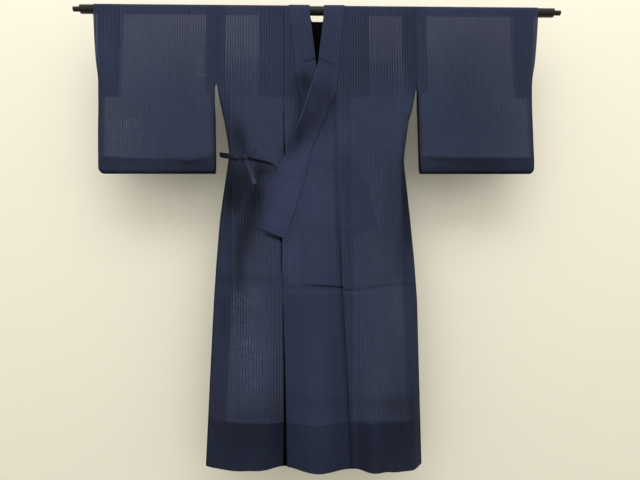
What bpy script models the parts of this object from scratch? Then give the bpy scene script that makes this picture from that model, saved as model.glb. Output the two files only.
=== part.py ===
"""A sheer summer kimono coat, hung flat through its sleeves on a plain round rod.

The origin is on the rod's axis, at the middle of its length. The coat's front faces -Y, +X is the
viewer's right, and +Z is up. Left and right in the names are the viewer's. Sizes are in metres.

Every cloth piece is laid out on one length of cloth that passes over the rod: a point of it is its
place across (x) and its length from the top of the rod (run), which is positive down the front and
negative down the back.
"""

from math import acos, cos, hypot, pi, sin, sqrt

import bmesh
import bpy

# Walls and clearances
WALL = 0.0012  # one layer of cloth with its seam allowances
COLLAR_WALL = 0.0026  # the collar is folded several layers thick
TIE_WALL = 0.0014
SEAM_GAP = 0.0003  # between pieces that are sewn or that touch
OVERLAP_RISE = 0.0043  # how far the top front lies outside the under front
MERGE = 0.00001  # points closer than this are one point

# The rod
ROD_RADIUS = 0.0135
ROD_LENGTH = 1.431
ROD_CHAMFER = 0.002
PIN_RADIUS = 0.0075
PIN_LENGTH = 0.022
ROD_SIDES = 32

# Where the cloth lies on the rod: a quarter turn is drawn in this many flats, which just clear the rod
ARC_ROWS = 4
ROD_CLEARANCE = 0.0005
FOLD_RADIUS = ROD_RADIUS / cos(pi / 4 / ARC_ROWS) + ROD_CLEARANCE
QUARTER = FOLD_RADIUS * pi / 2

# The coat, as drops below the rod's axis and half widths
HEM_DROP = 1.330
SLEEVE_DROP = 0.500
ARMHOLE_DROP = 0.238
SIDE_OPENING_END = 0.330
CUFF_OPENING_END = 0.212
CUFF_CLOSING = 0.055
COAT_X = -0.0055  # the coat hangs a little left of the rod's middle
NECK_X = -0.003  # and its neck a little left of its own middle
LEFT_ARMHOLE, RIGHT_ARMHOLE = -0.302, 0.295
POINT_DROP = 0.263  # the overlap panel starts in a point here, between the collar and the body panel
POINT_X = 0.0552  # from the neck's middle
POINT_WIDTH = 0.002

# How far the cloth's inner face stands from the middle plane
COAT_DEPTH = 0.0105
SLEEVE_DEPTH = 0.0085
SETTLE_DROP = 0.25  # the cloth comes in from the rod's width over this drop
SIDE_TURN = 0.030  # the front and back close in to the side seam over this width
SLEEVE_TURN = 0.020

# Back neck: how far the two edges of the collar sag behind the rod, and how square that sag is
BACK_FREE_RUN = 0.0535
BACK_SEAM_RUN = 0.117
SAG_SQUARENESS = 0.6
BACK_NECK_RUNS = (0.0265, 0.0315, 0.0370, 0.0450, 0.0600, 0.0750, 0.0890, 0.1000, 0.1080, 0.1130, 0.1155)

# Side edges of the coat's body
BODY_EDGES = (
    # drop, left, right
    (0.000, LEFT_ARMHOLE, RIGHT_ARMHOLE),
    (ARMHOLE_DROP, LEFT_ARMHOLE, RIGHT_ARMHOLE),
    (0.266, -0.296, 0.286),
    (0.310, -0.284, 0.278),
    (0.370, -0.274, 0.263),
    (0.432, -0.263, 0.252),
    (0.461, -0.265, 0.249),
    (0.550, -0.275, 0.257),
    (0.638, -0.286, 0.264),
    (0.755, -0.294, 0.273),
    (0.870, -0.301, 0.280),
    (1.100, -0.310, 0.282),
    (HEM_DROP, -0.318, 0.283),
)

# Outer edges of the sleeves, and their inner edges, which hang free below the armhole
SLEEVE_EDGES = (
    # drop, left outer, right outer, left inner, right inner
    (0.000, -0.667, 0.667, LEFT_ARMHOLE, RIGHT_ARMHOLE),
    (0.060, -0.664, 0.661, LEFT_ARMHOLE, RIGHT_ARMHOLE),
    (0.160, -0.656, 0.651, LEFT_ARMHOLE, RIGHT_ARMHOLE),
    (0.200, -0.651, 0.645, LEFT_ARMHOLE, RIGHT_ARMHOLE),
    (ARMHOLE_DROP, -0.648, 0.642, LEFT_ARMHOLE, RIGHT_ARMHOLE),
    (0.290, -0.648, 0.641, -0.307, 0.296),
    (0.372, -0.648, 0.641, -0.304, 0.297),
    (0.460, -0.645, 0.641, -0.302, 0.298),
    (0.486, -0.643, 0.639, -0.302, 0.298),
    (0.496, -0.637, 0.633, -0.302, 0.299),
    (SLEEVE_DROP, -0.628, 0.624, -0.302, 0.299),
)

# One half of the collar down the front, measured from the neck's middle: its sewn edge and its free edge.
# The same rows, mirrored, give the half on the under front.
COLLAR_ROWS = (
    # sewn drop, sewn x, free drop, free x
    (0.0000, 0.0840, 0.000, 0.0215),
    (0.0450, 0.0787, 0.043, 0.0162),
    (0.0900, 0.0738, 0.086, 0.0105),
    (0.1350, 0.0692, 0.129, 0.0063),
    (0.1800, 0.0645, 0.172, 0.0022),
    (0.2215, 0.0600, 0.208, -0.0062),
    (POINT_DROP, POINT_X, 0.243, -0.0205),
    (0.3100, 0.0350, 0.285, -0.0330),
    (0.3550, 0.0150, 0.329, -0.0480),
    (0.4000, -0.0055, 0.374, -0.0685),
    (0.4450, -0.0215, 0.419, -0.0865),
    (0.4850, -0.0310, 0.460, -0.1025),
    (0.5200, -0.0380, 0.494, -0.1190),
    (0.5650, -0.0510, 0.530, -0.1500),
    (0.6100, -0.0650, 0.578, -0.1560),
    (0.6550, -0.0825, 0.622, -0.1650),
    (0.6955, -0.0958, 0.663, -0.1775),
)
COLLAR_END_DROP = COLLAR_ROWS[-1][0]
LOWER_ROWS = (0.745, 0.800, 0.860, 0.920, 0.980, 1.040, 1.100, 1.160, 1.220, 1.275, HEM_DROP)

# One overlap panel, measured from the neck's middle: its seam to the body panel, and its front edge
OVERLAP_EDGES = (
    # drop, seam x, front edge x
    (POINT_DROP, POINT_X, POINT_X),
    (0.374, 0.0560, -0.0958),
    (0.510, 0.0579, -0.0958),
    (COLLAR_END_DROP, 0.0638, -0.0958),
    (0.789, 0.0680, -0.0990),
    (0.898, 0.0723, -0.0960),
    (1.118, 0.0833, -0.0910),
    (HEM_DROP, 0.0905, -0.0878),
)

# Folds that hang out of the cloth, each growing from its top drop to the hem
FRONT_FOLDS = (
    # x, half width, top drop, rise at the hem
    (-0.215, 0.112, 0.56, 0.034),
    (-0.010, 0.095, 0.50, 0.052),
    (0.085, 0.130, 0.55, 0.022),
    (0.205, 0.112, 0.55, 0.054),
)
BACK_FOLDS = (
    # x, half width, top drop, rise at the hem
    (-0.150, 0.125, 0.45, 0.022),
    (0.140, 0.120, 0.50, 0.026),
    (0.000, 0.060, 0.60, 0.010),
)
FOLD_GROWTH = 1.3  # how slowly a fold starts

# The top front comes up over the under front's edge across this width, starting at its edge
COVER_WIDTH = 0.06
COVER_START = 0.005
COVER_TOP = 0.03  # drop where the collar halves start to part, and the drop over which they do
COVER_GROWTH = 0.11
# The covered part of the under front hangs out less than the top front, from here rightwards
UNDER_SHARE = 0.55
COVERED_X = -0.125
COVERED_WIDTH = 0.04

# How many strips of faces each piece has across
PANEL_STRIPS = 7
COLLAR_STRIPS = 3
SLEEVE_STRIPS = 5
SLEEVE_EASE = 0.08  # beside the armhole the sleeve opens to the body's depth over this width

# The tie's bow at the viewer's left of the waist
KNOT_X, KNOT_DROP = -0.2205, 0.4535
KNOT_SIZE = (0.024, 0.0105, 0.019)
KNOT_NARROWING = 0.82  # on the loop's side
KNOT_SHRINK = 0.0008  # what rounding takes off the knot's cage at its back
TIE_LIFT = COAT_DEPTH + WALL + SEAM_GAP  # a strap that lies on the cloth
TIE_STRIPS = {
    # name: (direction across the strip, rows of x, drop, distance from the middle plane, width)
    "tie_strap_front": (
        (0.32, 0.95),
        (
            (-0.2080, 0.4560, 0.0150, 0.0070),
            (-0.1950, 0.4580, 0.0138, 0.0090),
            (-0.1750, 0.4620, TIE_LIFT, 0.0095),
            (-0.1550, 0.4690, TIE_LIFT, 0.0095),
            (-0.1350, 0.4775, 0.0135, 0.0095),
            (-0.1215, 0.4835, 0.0155, 0.0090),
        ),
    ),
    "tie_strap_side": (
        (0.15, 0.99),
        (
            (-0.2080, 0.4455, 0.0145, 0.0055),
            (-0.1950, 0.4430, TIE_LIFT, 0.0065),
            (-0.1800, 0.4400, TIE_LIFT, 0.0065),
        ),
    ),
    "bow_loop": (
        (-0.08, 0.99),
        (
            (-0.2335, 0.4550, 0.0140, 0.0100),
            (-0.2500, 0.4530, 0.0137, 0.0125),
            (-0.2700, 0.4505, 0.0138, 0.0125),
            (-0.2845, 0.4490, 0.0144, 0.0125),
            (-0.2868, 0.4487, 0.0160, 0.0125),
            (-0.2868, 0.4487, 0.0182, 0.0125),
            (-0.2845, 0.4490, 0.0197, 0.0125),
            (-0.2700, 0.4505, 0.0200, 0.0125),
            (-0.2500, 0.4530, 0.0195, 0.0125),
            (-0.2335, 0.4550, 0.0182, 0.0100),
        ),
    ),
    "tie_tail_long": (
        (0.96, 0.29),
        (
            (-0.2130, 0.4640, 0.0135, 0.0070),
            (-0.2060, 0.4830, TIE_LIFT, 0.0085),
            (-0.1960, 0.5100, TIE_LIFT, 0.0105),
            (-0.1850, 0.5390, 0.0140, 0.0125),
        ),
    ),
    "tie_tail_short": (
        (1.0, 0.0),
        (
            (-0.2290, 0.4650, 0.0135, 0.0060),
            (-0.2295, 0.4780, TIE_LIFT, 0.0065),
            (-0.2290, 0.4920, 0.0125, 0.0065),
        ),
    ),
}


def smooth(share):
    """0 to 1 with a level start and end."""
    share = min(max(share, 0.0), 1.0)
    return share * share * (3 - 2 * share)


def read(table, column, drop):
    """The table's column at this drop, on straight lines between its rows."""
    for above, below in zip(table, table[1:]):
        if drop <= below[0]:
            share = (drop - above[0]) / (below[0] - above[0])
            return above[column] + max(share, 0.0) * (below[column] - above[column])
    return table[-1][column]


def rounded(share):
    """Height of a quarter ellipse at this share of its width."""
    return sqrt(1 - (1 - min(max(share, 0.0), 1.0)) ** 2)


def fold_rise(folds, x, drop):
    rise = 0.0
    for middle, half_width, top, at_hem in folds:
        away = abs(x - middle) / half_width
        if away < 1 and drop > top:
            grown = ((drop - top) / (HEM_DROP - top)) ** FOLD_GROWTH
            rise += at_hem * grown * cos(away * pi / 2) ** 2
    return rise


def settled(drop, depth):
    """From the rod's width at the top to the given depth."""
    return depth + (FOLD_RADIUS - depth) * (1 - smooth(drop / SETTLE_DROP))


def collar_free_edge(drop):
    """The free edge of the top front, and of its mirrored twin, measured from the neck's middle."""
    if drop <= COLLAR_ROWS[-1][2]:
        return read(tuple((row[2], row[3]) for row in COLLAR_ROWS), 1, drop)
    return read(OVERLAP_EDGES, 2, max(drop, COLLAR_END_DROP))


def front_depth(x, drop, on_top):
    """How far the inner face of a front stands from the middle plane. The top front lies over the other."""
    under_edge = NECK_X - collar_free_edge(drop)
    folds = fold_rise(FRONT_FOLDS, x, drop)
    if on_top:
        beside = 1 - smooth((x - under_edge - COVER_START) / COVER_WIDTH)
        below = smooth((drop - COVER_TOP) / COVER_GROWTH)
        return settled(drop, COAT_DEPTH) + folds + OVERLAP_RISE * beside * below
    covered = smooth((x - COVERED_X) / COVERED_WIDTH)
    return settled(drop, COAT_DEPTH) + folds * (1 - covered * (1 - UNDER_SHARE))


def back_depth(x, drop):
    return settled(drop, COAT_DEPTH) + fold_rise(BACK_FOLDS, x, drop)


def hang(x, run, depth):
    """The point of the cloth at this place across and this length from the top of the rod."""
    if abs(run) <= QUARTER:
        angle = run / FOLD_RADIUS
        return (COAT_X + x, -FOLD_RADIUS * sin(angle), FOLD_RADIUS * cos(angle))
    return (COAT_X + x, -depth if run > 0 else depth, QUARTER - abs(run))


def run_of(drop):
    return QUARTER + drop


def body_depth(x, run, on_top):
    drop = max(abs(run) - QUARTER, 0.0)
    return front_depth(x, drop, on_top) if run > 0 else back_depth(x, drop)


def cloth(name, points, wall, material):
    """A wall of cloth outside the grid of points. Edges that meet are sewn into one."""
    rows, columns = len(points), len(points[0])
    mesh = bpy.data.meshes.new(name)
    sheet = bmesh.new()
    bmesh.ops.create_grid(sheet, x_segments=columns - 1, y_segments=rows - 1, size=1.0)
    order = sorted(sheet.verts, key=lambda vert: (round(vert.co.y, 5), round(vert.co.x, 5)))
    for vert, place in zip(order, (place for row in points for place in row)):
        vert.co = place
    bmesh.ops.remove_doubles(sheet, verts=sheet.verts, dist=MERGE)
    sheet.to_mesh(mesh)
    sheet.free()
    piece = bpy.data.objects.new(name, mesh)
    coat.objects.link(piece)
    mesh.materials.append(material)
    thickness = piece.modifiers.new("Wall", "SOLIDIFY")
    thickness.thickness = wall
    thickness.offset = 1.0
    mesh.shade_smooth()
    return piece


def finish(name, colour, roughness, sheen=0.0):
    material = bpy.data.materials.new(name)
    material.use_nodes = True
    shader = material.node_tree.nodes["Principled BSDF"]
    shader.inputs["Base Color"].default_value = (*colour, 1.0)
    shader.inputs["Roughness"].default_value = roughness
    shader.inputs["Sheen Weight"].default_value = sheen
    material.diffuse_color = (*colour, 1.0)
    return material


def front_drops():
    """Drops of the rows that every piece of the front shares, so that sewn edges stay side by side."""
    return [row[0] for row in COLLAR_ROWS] + list(LOWER_ROWS)


def body_rows():
    """Runs from the front hem over the rod to the back hem."""
    front = [run_of(drop) for drop in reversed(front_drops())]
    arc = [QUARTER * step / ARC_ROWS for step in range(ARC_ROWS - 1, -ARC_ROWS - 1, -1)]
    below_collar = 1 + SEAM_GAP / BACK_SEAM_RUN
    neck = [-run * below_collar for run in (*BACK_NECK_RUNS, BACK_SEAM_RUN)]
    drops = (0.17, ARMHOLE_DROP, SIDE_OPENING_END, 0.39, 0.45, 0.51, 0.58, 0.65, 0.72)
    back = [-run_of(drop) for drop in (*drops, *LOWER_ROWS[1:])]
    return front + arc + neck + back


def sag(run, width, depth):
    """Half width of the neck's sag behind the rod, at this run."""
    share = min(abs(run) / depth, 1.0)
    return width * sin(acos(share)) ** SAG_SQUARENESS


def neck_middle(run):
    """The neck's middle at the rod, moving to the middle of the back where the collar ends there."""
    return NECK_X * (1 - min(max(-run, 0.0) / BACK_SEAM_RUN, 1.0))


def overlap_seam(drop):
    """The overlap panel's seam to the body panel, measured from the neck's middle."""
    return max(read(OVERLAP_EDGES, 1, drop), POINT_X + POINT_WIDTH)


def across(start, end, strips):
    """Evenly spaced places from start to end, both included."""
    return [start + (end - start) * step / strips for step in range(strips + 1)]


def body_inner_edge(run, side):
    """Where a body panel meets the collar, the overlap panel or, down the back, its twin."""
    drop = abs(run) - QUARTER
    if run < 0:
        width = sag(run, COLLAR_ROWS[0][1], BACK_SEAM_RUN + SEAM_GAP)
        return neck_middle(run) + side * (width + SEAM_GAP)
    if drop < POINT_DROP - MERGE:
        return NECK_X + side * (read(COLLAR_ROWS, 1, max(drop, 0.0)) + SEAM_GAP)
    return NECK_X + side * (overlap_seam(drop) + 2 * SEAM_GAP)


def body_panel(name, side, material):
    """Front and back in one length over the shoulder, sewn together down the side."""
    column = 1 if side < 0 else 2
    near_seam = (0.0, 0.1, 0.35)
    points = []
    for run in body_rows():
        drop = max(abs(run) - QUARTER, 0.0)
        outer = read(BODY_EDGES, column, drop) - side * SEAM_GAP / 2
        inner = body_inner_edge(run, side)
        turn = outer - side * SIDE_TURN
        places = [outer - side * SIDE_TURN * share for share in near_seam]
        places += across(turn, inner, PANEL_STRIPS)
        closed = smooth((drop - ARMHOLE_DROP) / (SIDE_OPENING_END - ARMHOLE_DROP))
        row = []
        for x in places if side < 0 else reversed(places):
            turned = 1 - closed * (1 - rounded(abs(x - outer) / SIDE_TURN))
            row.append(hang(x, run, body_depth(x, run, side > 0) * turned))
        points.append(row)
    return cloth(name, points, WALL, material)


def overlap_panel(name, side, material):
    """The narrow panel sewn to a body panel's front edge, from a point beside the collar to the hem."""
    points = []
    for drop in reversed([drop for drop in front_drops() if drop >= POINT_DROP]):
        if drop <= COLLAR_END_DROP:
            edge = read(COLLAR_ROWS, 1, drop) + SEAM_GAP
        else:
            edge = read(OVERLAP_EDGES, 2, drop)
        places = [NECK_X + side * place for place in across(edge, overlap_seam(drop), PANEL_STRIPS)]
        row = [hang(x, run_of(drop), front_depth(x, drop, side > 0)) for x in places]
        points.append(row if side > 0 else row[::-1])
    return cloth(name, points, WALL, material)


def collar_half(side):
    """Rows of (free x, free run, sewn x, sewn run) from the lower end up to the middle of the back neck."""
    rows = []
    for sewn_drop, sewn_x, free_drop, free_x in reversed(COLLAR_ROWS):
        rows.append((free_x, run_of(free_drop), sewn_x, run_of(sewn_drop)))
    arc = [QUARTER * step / ARC_ROWS for step in range(ARC_ROWS - 1, 0, -1)]
    rows += [(COLLAR_ROWS[0][3], run, COLLAR_ROWS[0][1], run) for run in arc]
    neck = [QUARTER * step / ARC_ROWS for step in range(ARC_ROWS + 1)] + list(BACK_NECK_RUNS)
    for run in [*neck, BACK_SEAM_RUN]:
        share = run / BACK_SEAM_RUN
        free_run = share * BACK_FREE_RUN
        free_x = sag(free_run, COLLAR_ROWS[0][3], BACK_FREE_RUN)
        rows.append((free_x, -free_run, sag(run, COLLAR_ROWS[0][1], BACK_SEAM_RUN), -run))
    return [(neck_middle(d) + side * a, b, neck_middle(d) + side * c, d) for a, b, c, d in rows]


def collar_piece(name, material):
    """One long folded band: up the top front, round the back of the neck and down the under front."""
    top, under = collar_half(1), collar_half(-1)
    points = []
    for half, on_top in ((top, True), (under[::-1][1:], False)):
        for free_x, free_run, sewn_x, sewn_run in half:
            places = across(free_x, sewn_x, COLLAR_STRIPS)
            runs = across(free_run, sewn_run, COLLAR_STRIPS)
            points.append([hang(x, run, body_depth(x, run, on_top)) for x, run in zip(places, runs)])
    return cloth(name, points, COLLAR_WALL, material)


def sleeve(name, side, material):
    """One length of cloth folded over the rod, sewn along its bottom and up to the cuff opening."""
    outer_column, inner_column = (1, 3) if side < 0 else (2, 4)
    low = (SLEEVE_DROP, 0.4975, 0.491, 0.480, 0.45, 0.40, 0.35, 0.29)
    drops = (*low, ARMHOLE_DROP, CUFF_OPENING_END, 0.185, 0.155, 0.10, 0.05, 0.0)
    arc = [QUARTER * step / ARC_ROWS for step in range(ARC_ROWS - 1, -ARC_ROWS, -1)]
    runs = [run_of(drop) for drop in drops]
    points = []
    for run in runs + arc + [-run for run in reversed(runs)]:
        drop = max(abs(run) - QUARTER, 0.0)
        outer = read(SLEEVE_EDGES, outer_column, drop)
        inner = read(SLEEVE_EDGES, inner_column, drop) + side * SEAM_GAP / 2
        turn = outer - side * SLEEVE_TURN
        places = [outer - side * SLEEVE_TURN * share for share in (0.0, 0.12, 0.4)]
        places += across(turn, inner, SLEEVE_STRIPS)
        closed = smooth((drop - CUFF_OPENING_END + CUFF_CLOSING) / CUFF_CLOSING)
        bottom = rounded((SLEEVE_DROP - drop) / SLEEVE_TURN)
        row = []
        for x in places if side < 0 else reversed(places):
            turned = 1 - closed * (1 - rounded(abs(x - outer) / SLEEVE_TURN))
            own = smooth(abs(x - inner) / SLEEVE_EASE)
            depth = settled(drop, COAT_DEPTH + (SLEEVE_DEPTH - COAT_DEPTH) * own)
            row.append(hang(x, run, depth * turned * bottom))
        points.append(row)
    return cloth(name, points, WALL, material)


def tie_strip(name, direction, rows, material):
    """A flat strip of folded cloth that runs through its rows."""
    size = hypot(*direction)
    points = []
    for x, drop, out, width in rows:
        row = []
        for share in (-0.5, 0.0, 0.5):
            away = share * width / size
            row.append((COAT_X + x + direction[0] * away, -out, -drop + direction[1] * away))
        points.append(row)
    points = [list(column) for column in zip(*points)]
    return cloth(name, points, TIE_WALL, material)


def knot_piece(name, material):
    """A soft lump where the two straps are tied, on a coarse cage."""
    bpy.ops.mesh.primitive_cube_add(size=1.0, location=(0.0, 0.0, 0.0))
    knot = bpy.context.active_object
    knot.name = knot.data.name = name
    middle_y = KNOT_SHRINK - TIE_LIFT - KNOT_SIZE[1] / 2
    for vert in knot.data.vertices:
        narrow = KNOT_NARROWING if vert.co.x < 0 else 1.0
        vert.co.x = COAT_X + KNOT_X + vert.co.x * KNOT_SIZE[0]
        vert.co.y = middle_y + vert.co.y * KNOT_SIZE[1]
        vert.co.z = -KNOT_DROP + vert.co.z * KNOT_SIZE[2] * narrow
    rounding = knot.modifiers.new("Soft", "SUBSURF")
    rounding.levels = rounding.render_levels = 2
    knot.data.materials.append(material)
    knot.data.shade_smooth()
    move_to_coat(knot)
    return knot


def rod_piece(name, material):
    """A turned rod with a small chamfer and a thinner pin at each end."""
    half, pin_end = ROD_LENGTH / 2, ROD_LENGTH / 2 + PIN_LENGTH
    right = (
        (half - ROD_CHAMFER, ROD_RADIUS),
        (half, ROD_RADIUS - ROD_CHAMFER),
        (half, PIN_RADIUS),
        (pin_end, PIN_RADIUS),
        (pin_end, 0.0),
    )
    profile = [(-x, radius) for x, radius in reversed(right)] + list(right)
    mesh = bpy.data.meshes.new(name)
    mesh.from_pydata(
        [(x, 0.0, radius) for x, radius in profile],
        [(step, step + 1) for step in range(len(profile) - 1)],
        [],
    )
    rod = bpy.data.objects.new(name, mesh)
    turning = rod.modifiers.new("Turning", "SCREW")
    turning.axis = "X"
    turning.steps = turning.render_steps = ROD_SIDES
    turning.use_merge_vertices = True
    turning.merge_threshold = MERGE
    turning.use_normal_calculate = True
    mesh.materials.append(material)
    coat.objects.link(rod)
    return rod


def move_to_coat(piece):
    for collection in list(piece.users_collection):
        collection.objects.unlink(piece)
    coat.objects.link(piece)


for leftover in list(bpy.data.objects):
    bpy.data.objects.remove(leftover)
coat = bpy.data.collections.new("kimono_coat_on_rod")
bpy.context.scene.collection.children.link(coat)

navy_gauze = finish("navy silk gauze", (0.022, 0.035, 0.085), 0.62, 0.3)
navy_collar = finish("navy gauze, folded", (0.018, 0.029, 0.074), 0.60, 0.3)
navy_tie = finish("navy tie cloth", (0.020, 0.030, 0.070), 0.55, 0.3)
black_lacquer = finish("black lacquered wood", (0.006, 0.006, 0.007), 0.22)

rod_piece("rod", black_lacquer)
body_panel("body_panel_left", -1, navy_gauze)
body_panel("body_panel_right", 1, navy_gauze)
overlap_panel("overlap_panel_under", -1, navy_gauze)
overlap_panel("overlap_panel_top", 1, navy_gauze)
collar_piece("collar", navy_collar)
sleeve("sleeve_left", -1, navy_gauze)
sleeve("sleeve_right", 1, navy_gauze)
for strip, (strip_direction, strip_rows) in TIE_STRIPS.items():
    tie_strip(strip, strip_direction, strip_rows, navy_tie)
knot_piece("bow_knot", navy_tie)
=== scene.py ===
from functools import partial, reduce
from math import cos, hypot, pi, radians, sin

import bmesh
import bpy
import numpy as np
from mathutils import Matrix, Vector


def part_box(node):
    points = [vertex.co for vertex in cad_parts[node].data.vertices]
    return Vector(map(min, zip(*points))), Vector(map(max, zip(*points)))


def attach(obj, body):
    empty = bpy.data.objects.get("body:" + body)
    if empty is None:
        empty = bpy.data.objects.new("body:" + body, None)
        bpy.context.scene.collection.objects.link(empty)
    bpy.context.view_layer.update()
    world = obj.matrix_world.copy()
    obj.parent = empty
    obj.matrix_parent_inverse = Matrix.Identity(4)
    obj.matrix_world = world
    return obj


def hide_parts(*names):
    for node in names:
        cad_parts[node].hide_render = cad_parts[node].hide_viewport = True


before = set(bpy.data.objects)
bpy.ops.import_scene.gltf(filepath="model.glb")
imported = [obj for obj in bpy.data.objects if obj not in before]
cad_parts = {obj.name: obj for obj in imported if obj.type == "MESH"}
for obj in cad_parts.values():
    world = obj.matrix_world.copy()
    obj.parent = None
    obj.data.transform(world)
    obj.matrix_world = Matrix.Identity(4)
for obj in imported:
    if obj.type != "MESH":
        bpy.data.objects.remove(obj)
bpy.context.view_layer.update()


# Camera: a wide lens at the height of the coat's waist, a little left of its middle, as in the photograph.
# It looks up by a few degrees, so the sleeves spread towards the top of the picture.
CAMERA_PLACE = (-0.0341, -1.4020, -0.7993)
CAMERA_YAW, CAMERA_PITCH, CAMERA_ROLL = radians(-1.3216), radians(4.2284), radians(-0.2492)
LENS, SENSOR = 27.056, 36.0

bpy.ops.object.camera_add()
camera = bpy.context.active_object
camera.name = "Camera"
level = Matrix.Rotation(CAMERA_YAW, 4, "Z") @ Matrix.Rotation(pi / 2 + CAMERA_PITCH, 4, "X")
camera.matrix_world = Matrix.Translation(CAMERA_PLACE) @ level @ Matrix.Rotation(CAMERA_ROLL, 4, "Z")
camera.data.lens = LENS
camera.data.sensor_width = SENSOR
bpy.context.scene.camera = camera


# Room: a cream wall close behind the coat, a plain floor below it and one soft lamp high in front.
# The wall is seen from its front only, so that it doesn't hide the coat's back in other views.
WALL_Y, FLOOR_Z, ROOM_SIZE = 0.17, -1.72, 9.0
WALL_COLOUR, FLOOR_COLOUR = (0.84, 0.81, 0.68), (0.27, 0.257, 0.222)
SKY_COLOUR, SKY_STRENGTH = (1.0, 0.985, 0.96), 1.22
LAMP_PLACE, LAMP_AIM = (0.0, -2.4, 2.0), (0.0, 0.0, -0.4)
LAMP_SIZE, LAMP_POWER, LAMP_COLOUR = (3.2, 1.6), 40.0, (1.0, 0.985, 0.955)


def feed(tree, fed, inputs):
    """Links each of a node's inputs that is given a socket, and sets any other."""
    for key, value in dict(inputs).items():
        if isinstance(value, bpy.types.NodeSocket):
            tree.links.new(value, fed.inputs[key])
        else:
            fed.inputs[key].default_value = value
    return fed


def node(tree, kind, inputs=(), **settings):
    """A new shader node with these inputs and settings."""
    made = tree.nodes.new(kind)
    for setting, value in settings.items():
        setattr(made, setting, value)
    return feed(tree, made, inputs)


def bare_finish(name):
    """A new material, its node tree and its shader."""
    material = bpy.data.materials.new(name)
    material.use_nodes = True
    return material, material.node_tree, material.node_tree.nodes["Principled BSDF"]


def plain_paint(name, colour):
    """Matt paint that is clear from behind."""
    material, tree, paint = bare_finish(name)
    feed(tree, paint, {"Base Color": (*colour, 1.0), "Roughness": 0.9})
    clear = node(tree, "ShaderNodeBsdfTransparent")
    facing = node(tree, "ShaderNodeNewGeometry")
    faces = {0: facing.outputs["Backfacing"], 1: paint.outputs[0], 2: clear.outputs[0]}
    mixed = node(tree, "ShaderNodeMixShader", faces)
    feed(tree, tree.nodes["Material Output"], {"Surface": mixed.outputs[0]})
    return material


bpy.ops.mesh.primitive_plane_add(size=ROOM_SIZE, location=(0.0, WALL_Y, 0.0), rotation=(pi / 2, 0.0, 0.0))
backdrop = bpy.context.active_object
backdrop.name = "backdrop"
backdrop.data.materials.append(plain_paint("cream wall", WALL_COLOUR))
bpy.ops.mesh.primitive_plane_add(size=ROOM_SIZE, location=(0.0, 0.0, FLOOR_Z))
floor = bpy.context.active_object
floor.name = "floor"
floor.data.materials.append(plain_paint("pale floor", FLOOR_COLOUR))

bpy.ops.object.light_add(type="AREA", location=LAMP_PLACE)
lamp = bpy.context.active_object
lamp.name = "Lamp"
lamp.data.shape = "RECTANGLE"
lamp.data.size, lamp.data.size_y = LAMP_SIZE
lamp.data.energy = LAMP_POWER
lamp.data.color = LAMP_COLOUR
lamp.rotation_euler = (Vector(LAMP_AIM) - Vector(LAMP_PLACE)).to_track_quat("-Z", "Y").to_euler()

world = bpy.data.worlds.new("soft room light")
world.use_nodes = True
sky = world.node_tree.nodes["Background"]
feed(world.node_tree, sky, {"Color": (*SKY_COLOUR, 1.0), "Strength": SKY_STRENGTH})
bpy.context.scene.world = world
bpy.context.scene.view_settings.view_transform = "Standard"


# Rod: a round wooden rod in black lacquer that runs through both sleeves and carries the coat.
# It is turned in one piece, with a thinner pin at each end by which it is held up.
rod_low, rod_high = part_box("rod")
ROD_RADIUS = (rod_high.z - rod_low.z) / 2
PIN_LENGTH, PIN_RADIUS = 0.022, 0.0075
ROD_HALF = (rod_high.x - rod_low.x) / 2 - PIN_LENGTH
ROD_SIDES, ROD_EDGE_ROUNDING = 96, 0.0008
LACQUER_DARK, LACQUER_BRUSHED = (0.008, 0.008, 0.007, 1.0), (0.020, 0.019, 0.015, 1.0)


def select_faces(test):
    """In edit mode, selects the faces of the mesh whose middle and normal pass the test."""
    bpy.ops.mesh.select_all(action="DESELECT")
    shape = bmesh.from_edit_mesh(bpy.context.active_object.data)
    for face in shape.faces:
        if test(face.calc_center_median(), face.normal):
            face.select_set(True)
    bmesh.update_edit_mesh(bpy.context.active_object.data)


def move_to_origin(piece):
    """Puts the object at the origin, unturned and unscaled, with its place in its mesh."""
    bpy.ops.object.select_all(action="DESELECT")
    piece.select_set(True)
    bpy.context.view_layer.objects.active = piece
    bpy.ops.object.transform_apply(location=True, rotation=True, scale=True)


def black_lacquer():
    """Deep gloss over black, with faint long brush waves and a little dust in the gloss."""
    material, tree, shader = bare_finish("black lacquer")
    place = node(tree, "ShaderNodeTexCoord").outputs["Object"]
    stretched = node(tree, "ShaderNodeMapping", {"Vector": place, "Scale": (3.0, 60.0, 60.0)})
    brush = node(tree, "ShaderNodeTexNoise", {"Vector": stretched.outputs[0], "Scale": 1.5, "Detail": 3.0})
    dust = node(tree, "ShaderNodeTexNoise", {"Vector": place, "Scale": 160.0, "Detail": 4.0})
    tints = {0: brush.outputs["Fac"], 6: LACQUER_DARK, 7: LACQUER_BRUSHED}
    tint = node(tree, "ShaderNodeMix", tints, data_type="RGBA")
    dulling = {"From Min": 0.35, "From Max": 0.75, "To Min": 0.16, "To Max": 0.34}
    gloss = node(tree, "ShaderNodeMapRange", {"Value": dust.outputs["Fac"], **dulling})
    waves = {"Height": brush.outputs["Fac"], "Strength": 0.25, "Distance": 0.0006}
    bump = node(tree, "ShaderNodeBump", waves)
    feed(tree, shader, {"Base Color": tint.outputs[2], "Roughness": gloss.outputs[0]})
    feed(tree, shader, {"Normal": bump.outputs[0], "Specular IOR Level": 0.15})
    feed(tree, shader, {"Coat Weight": 0.06, "Coat Roughness": 0.12})
    return material


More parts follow.
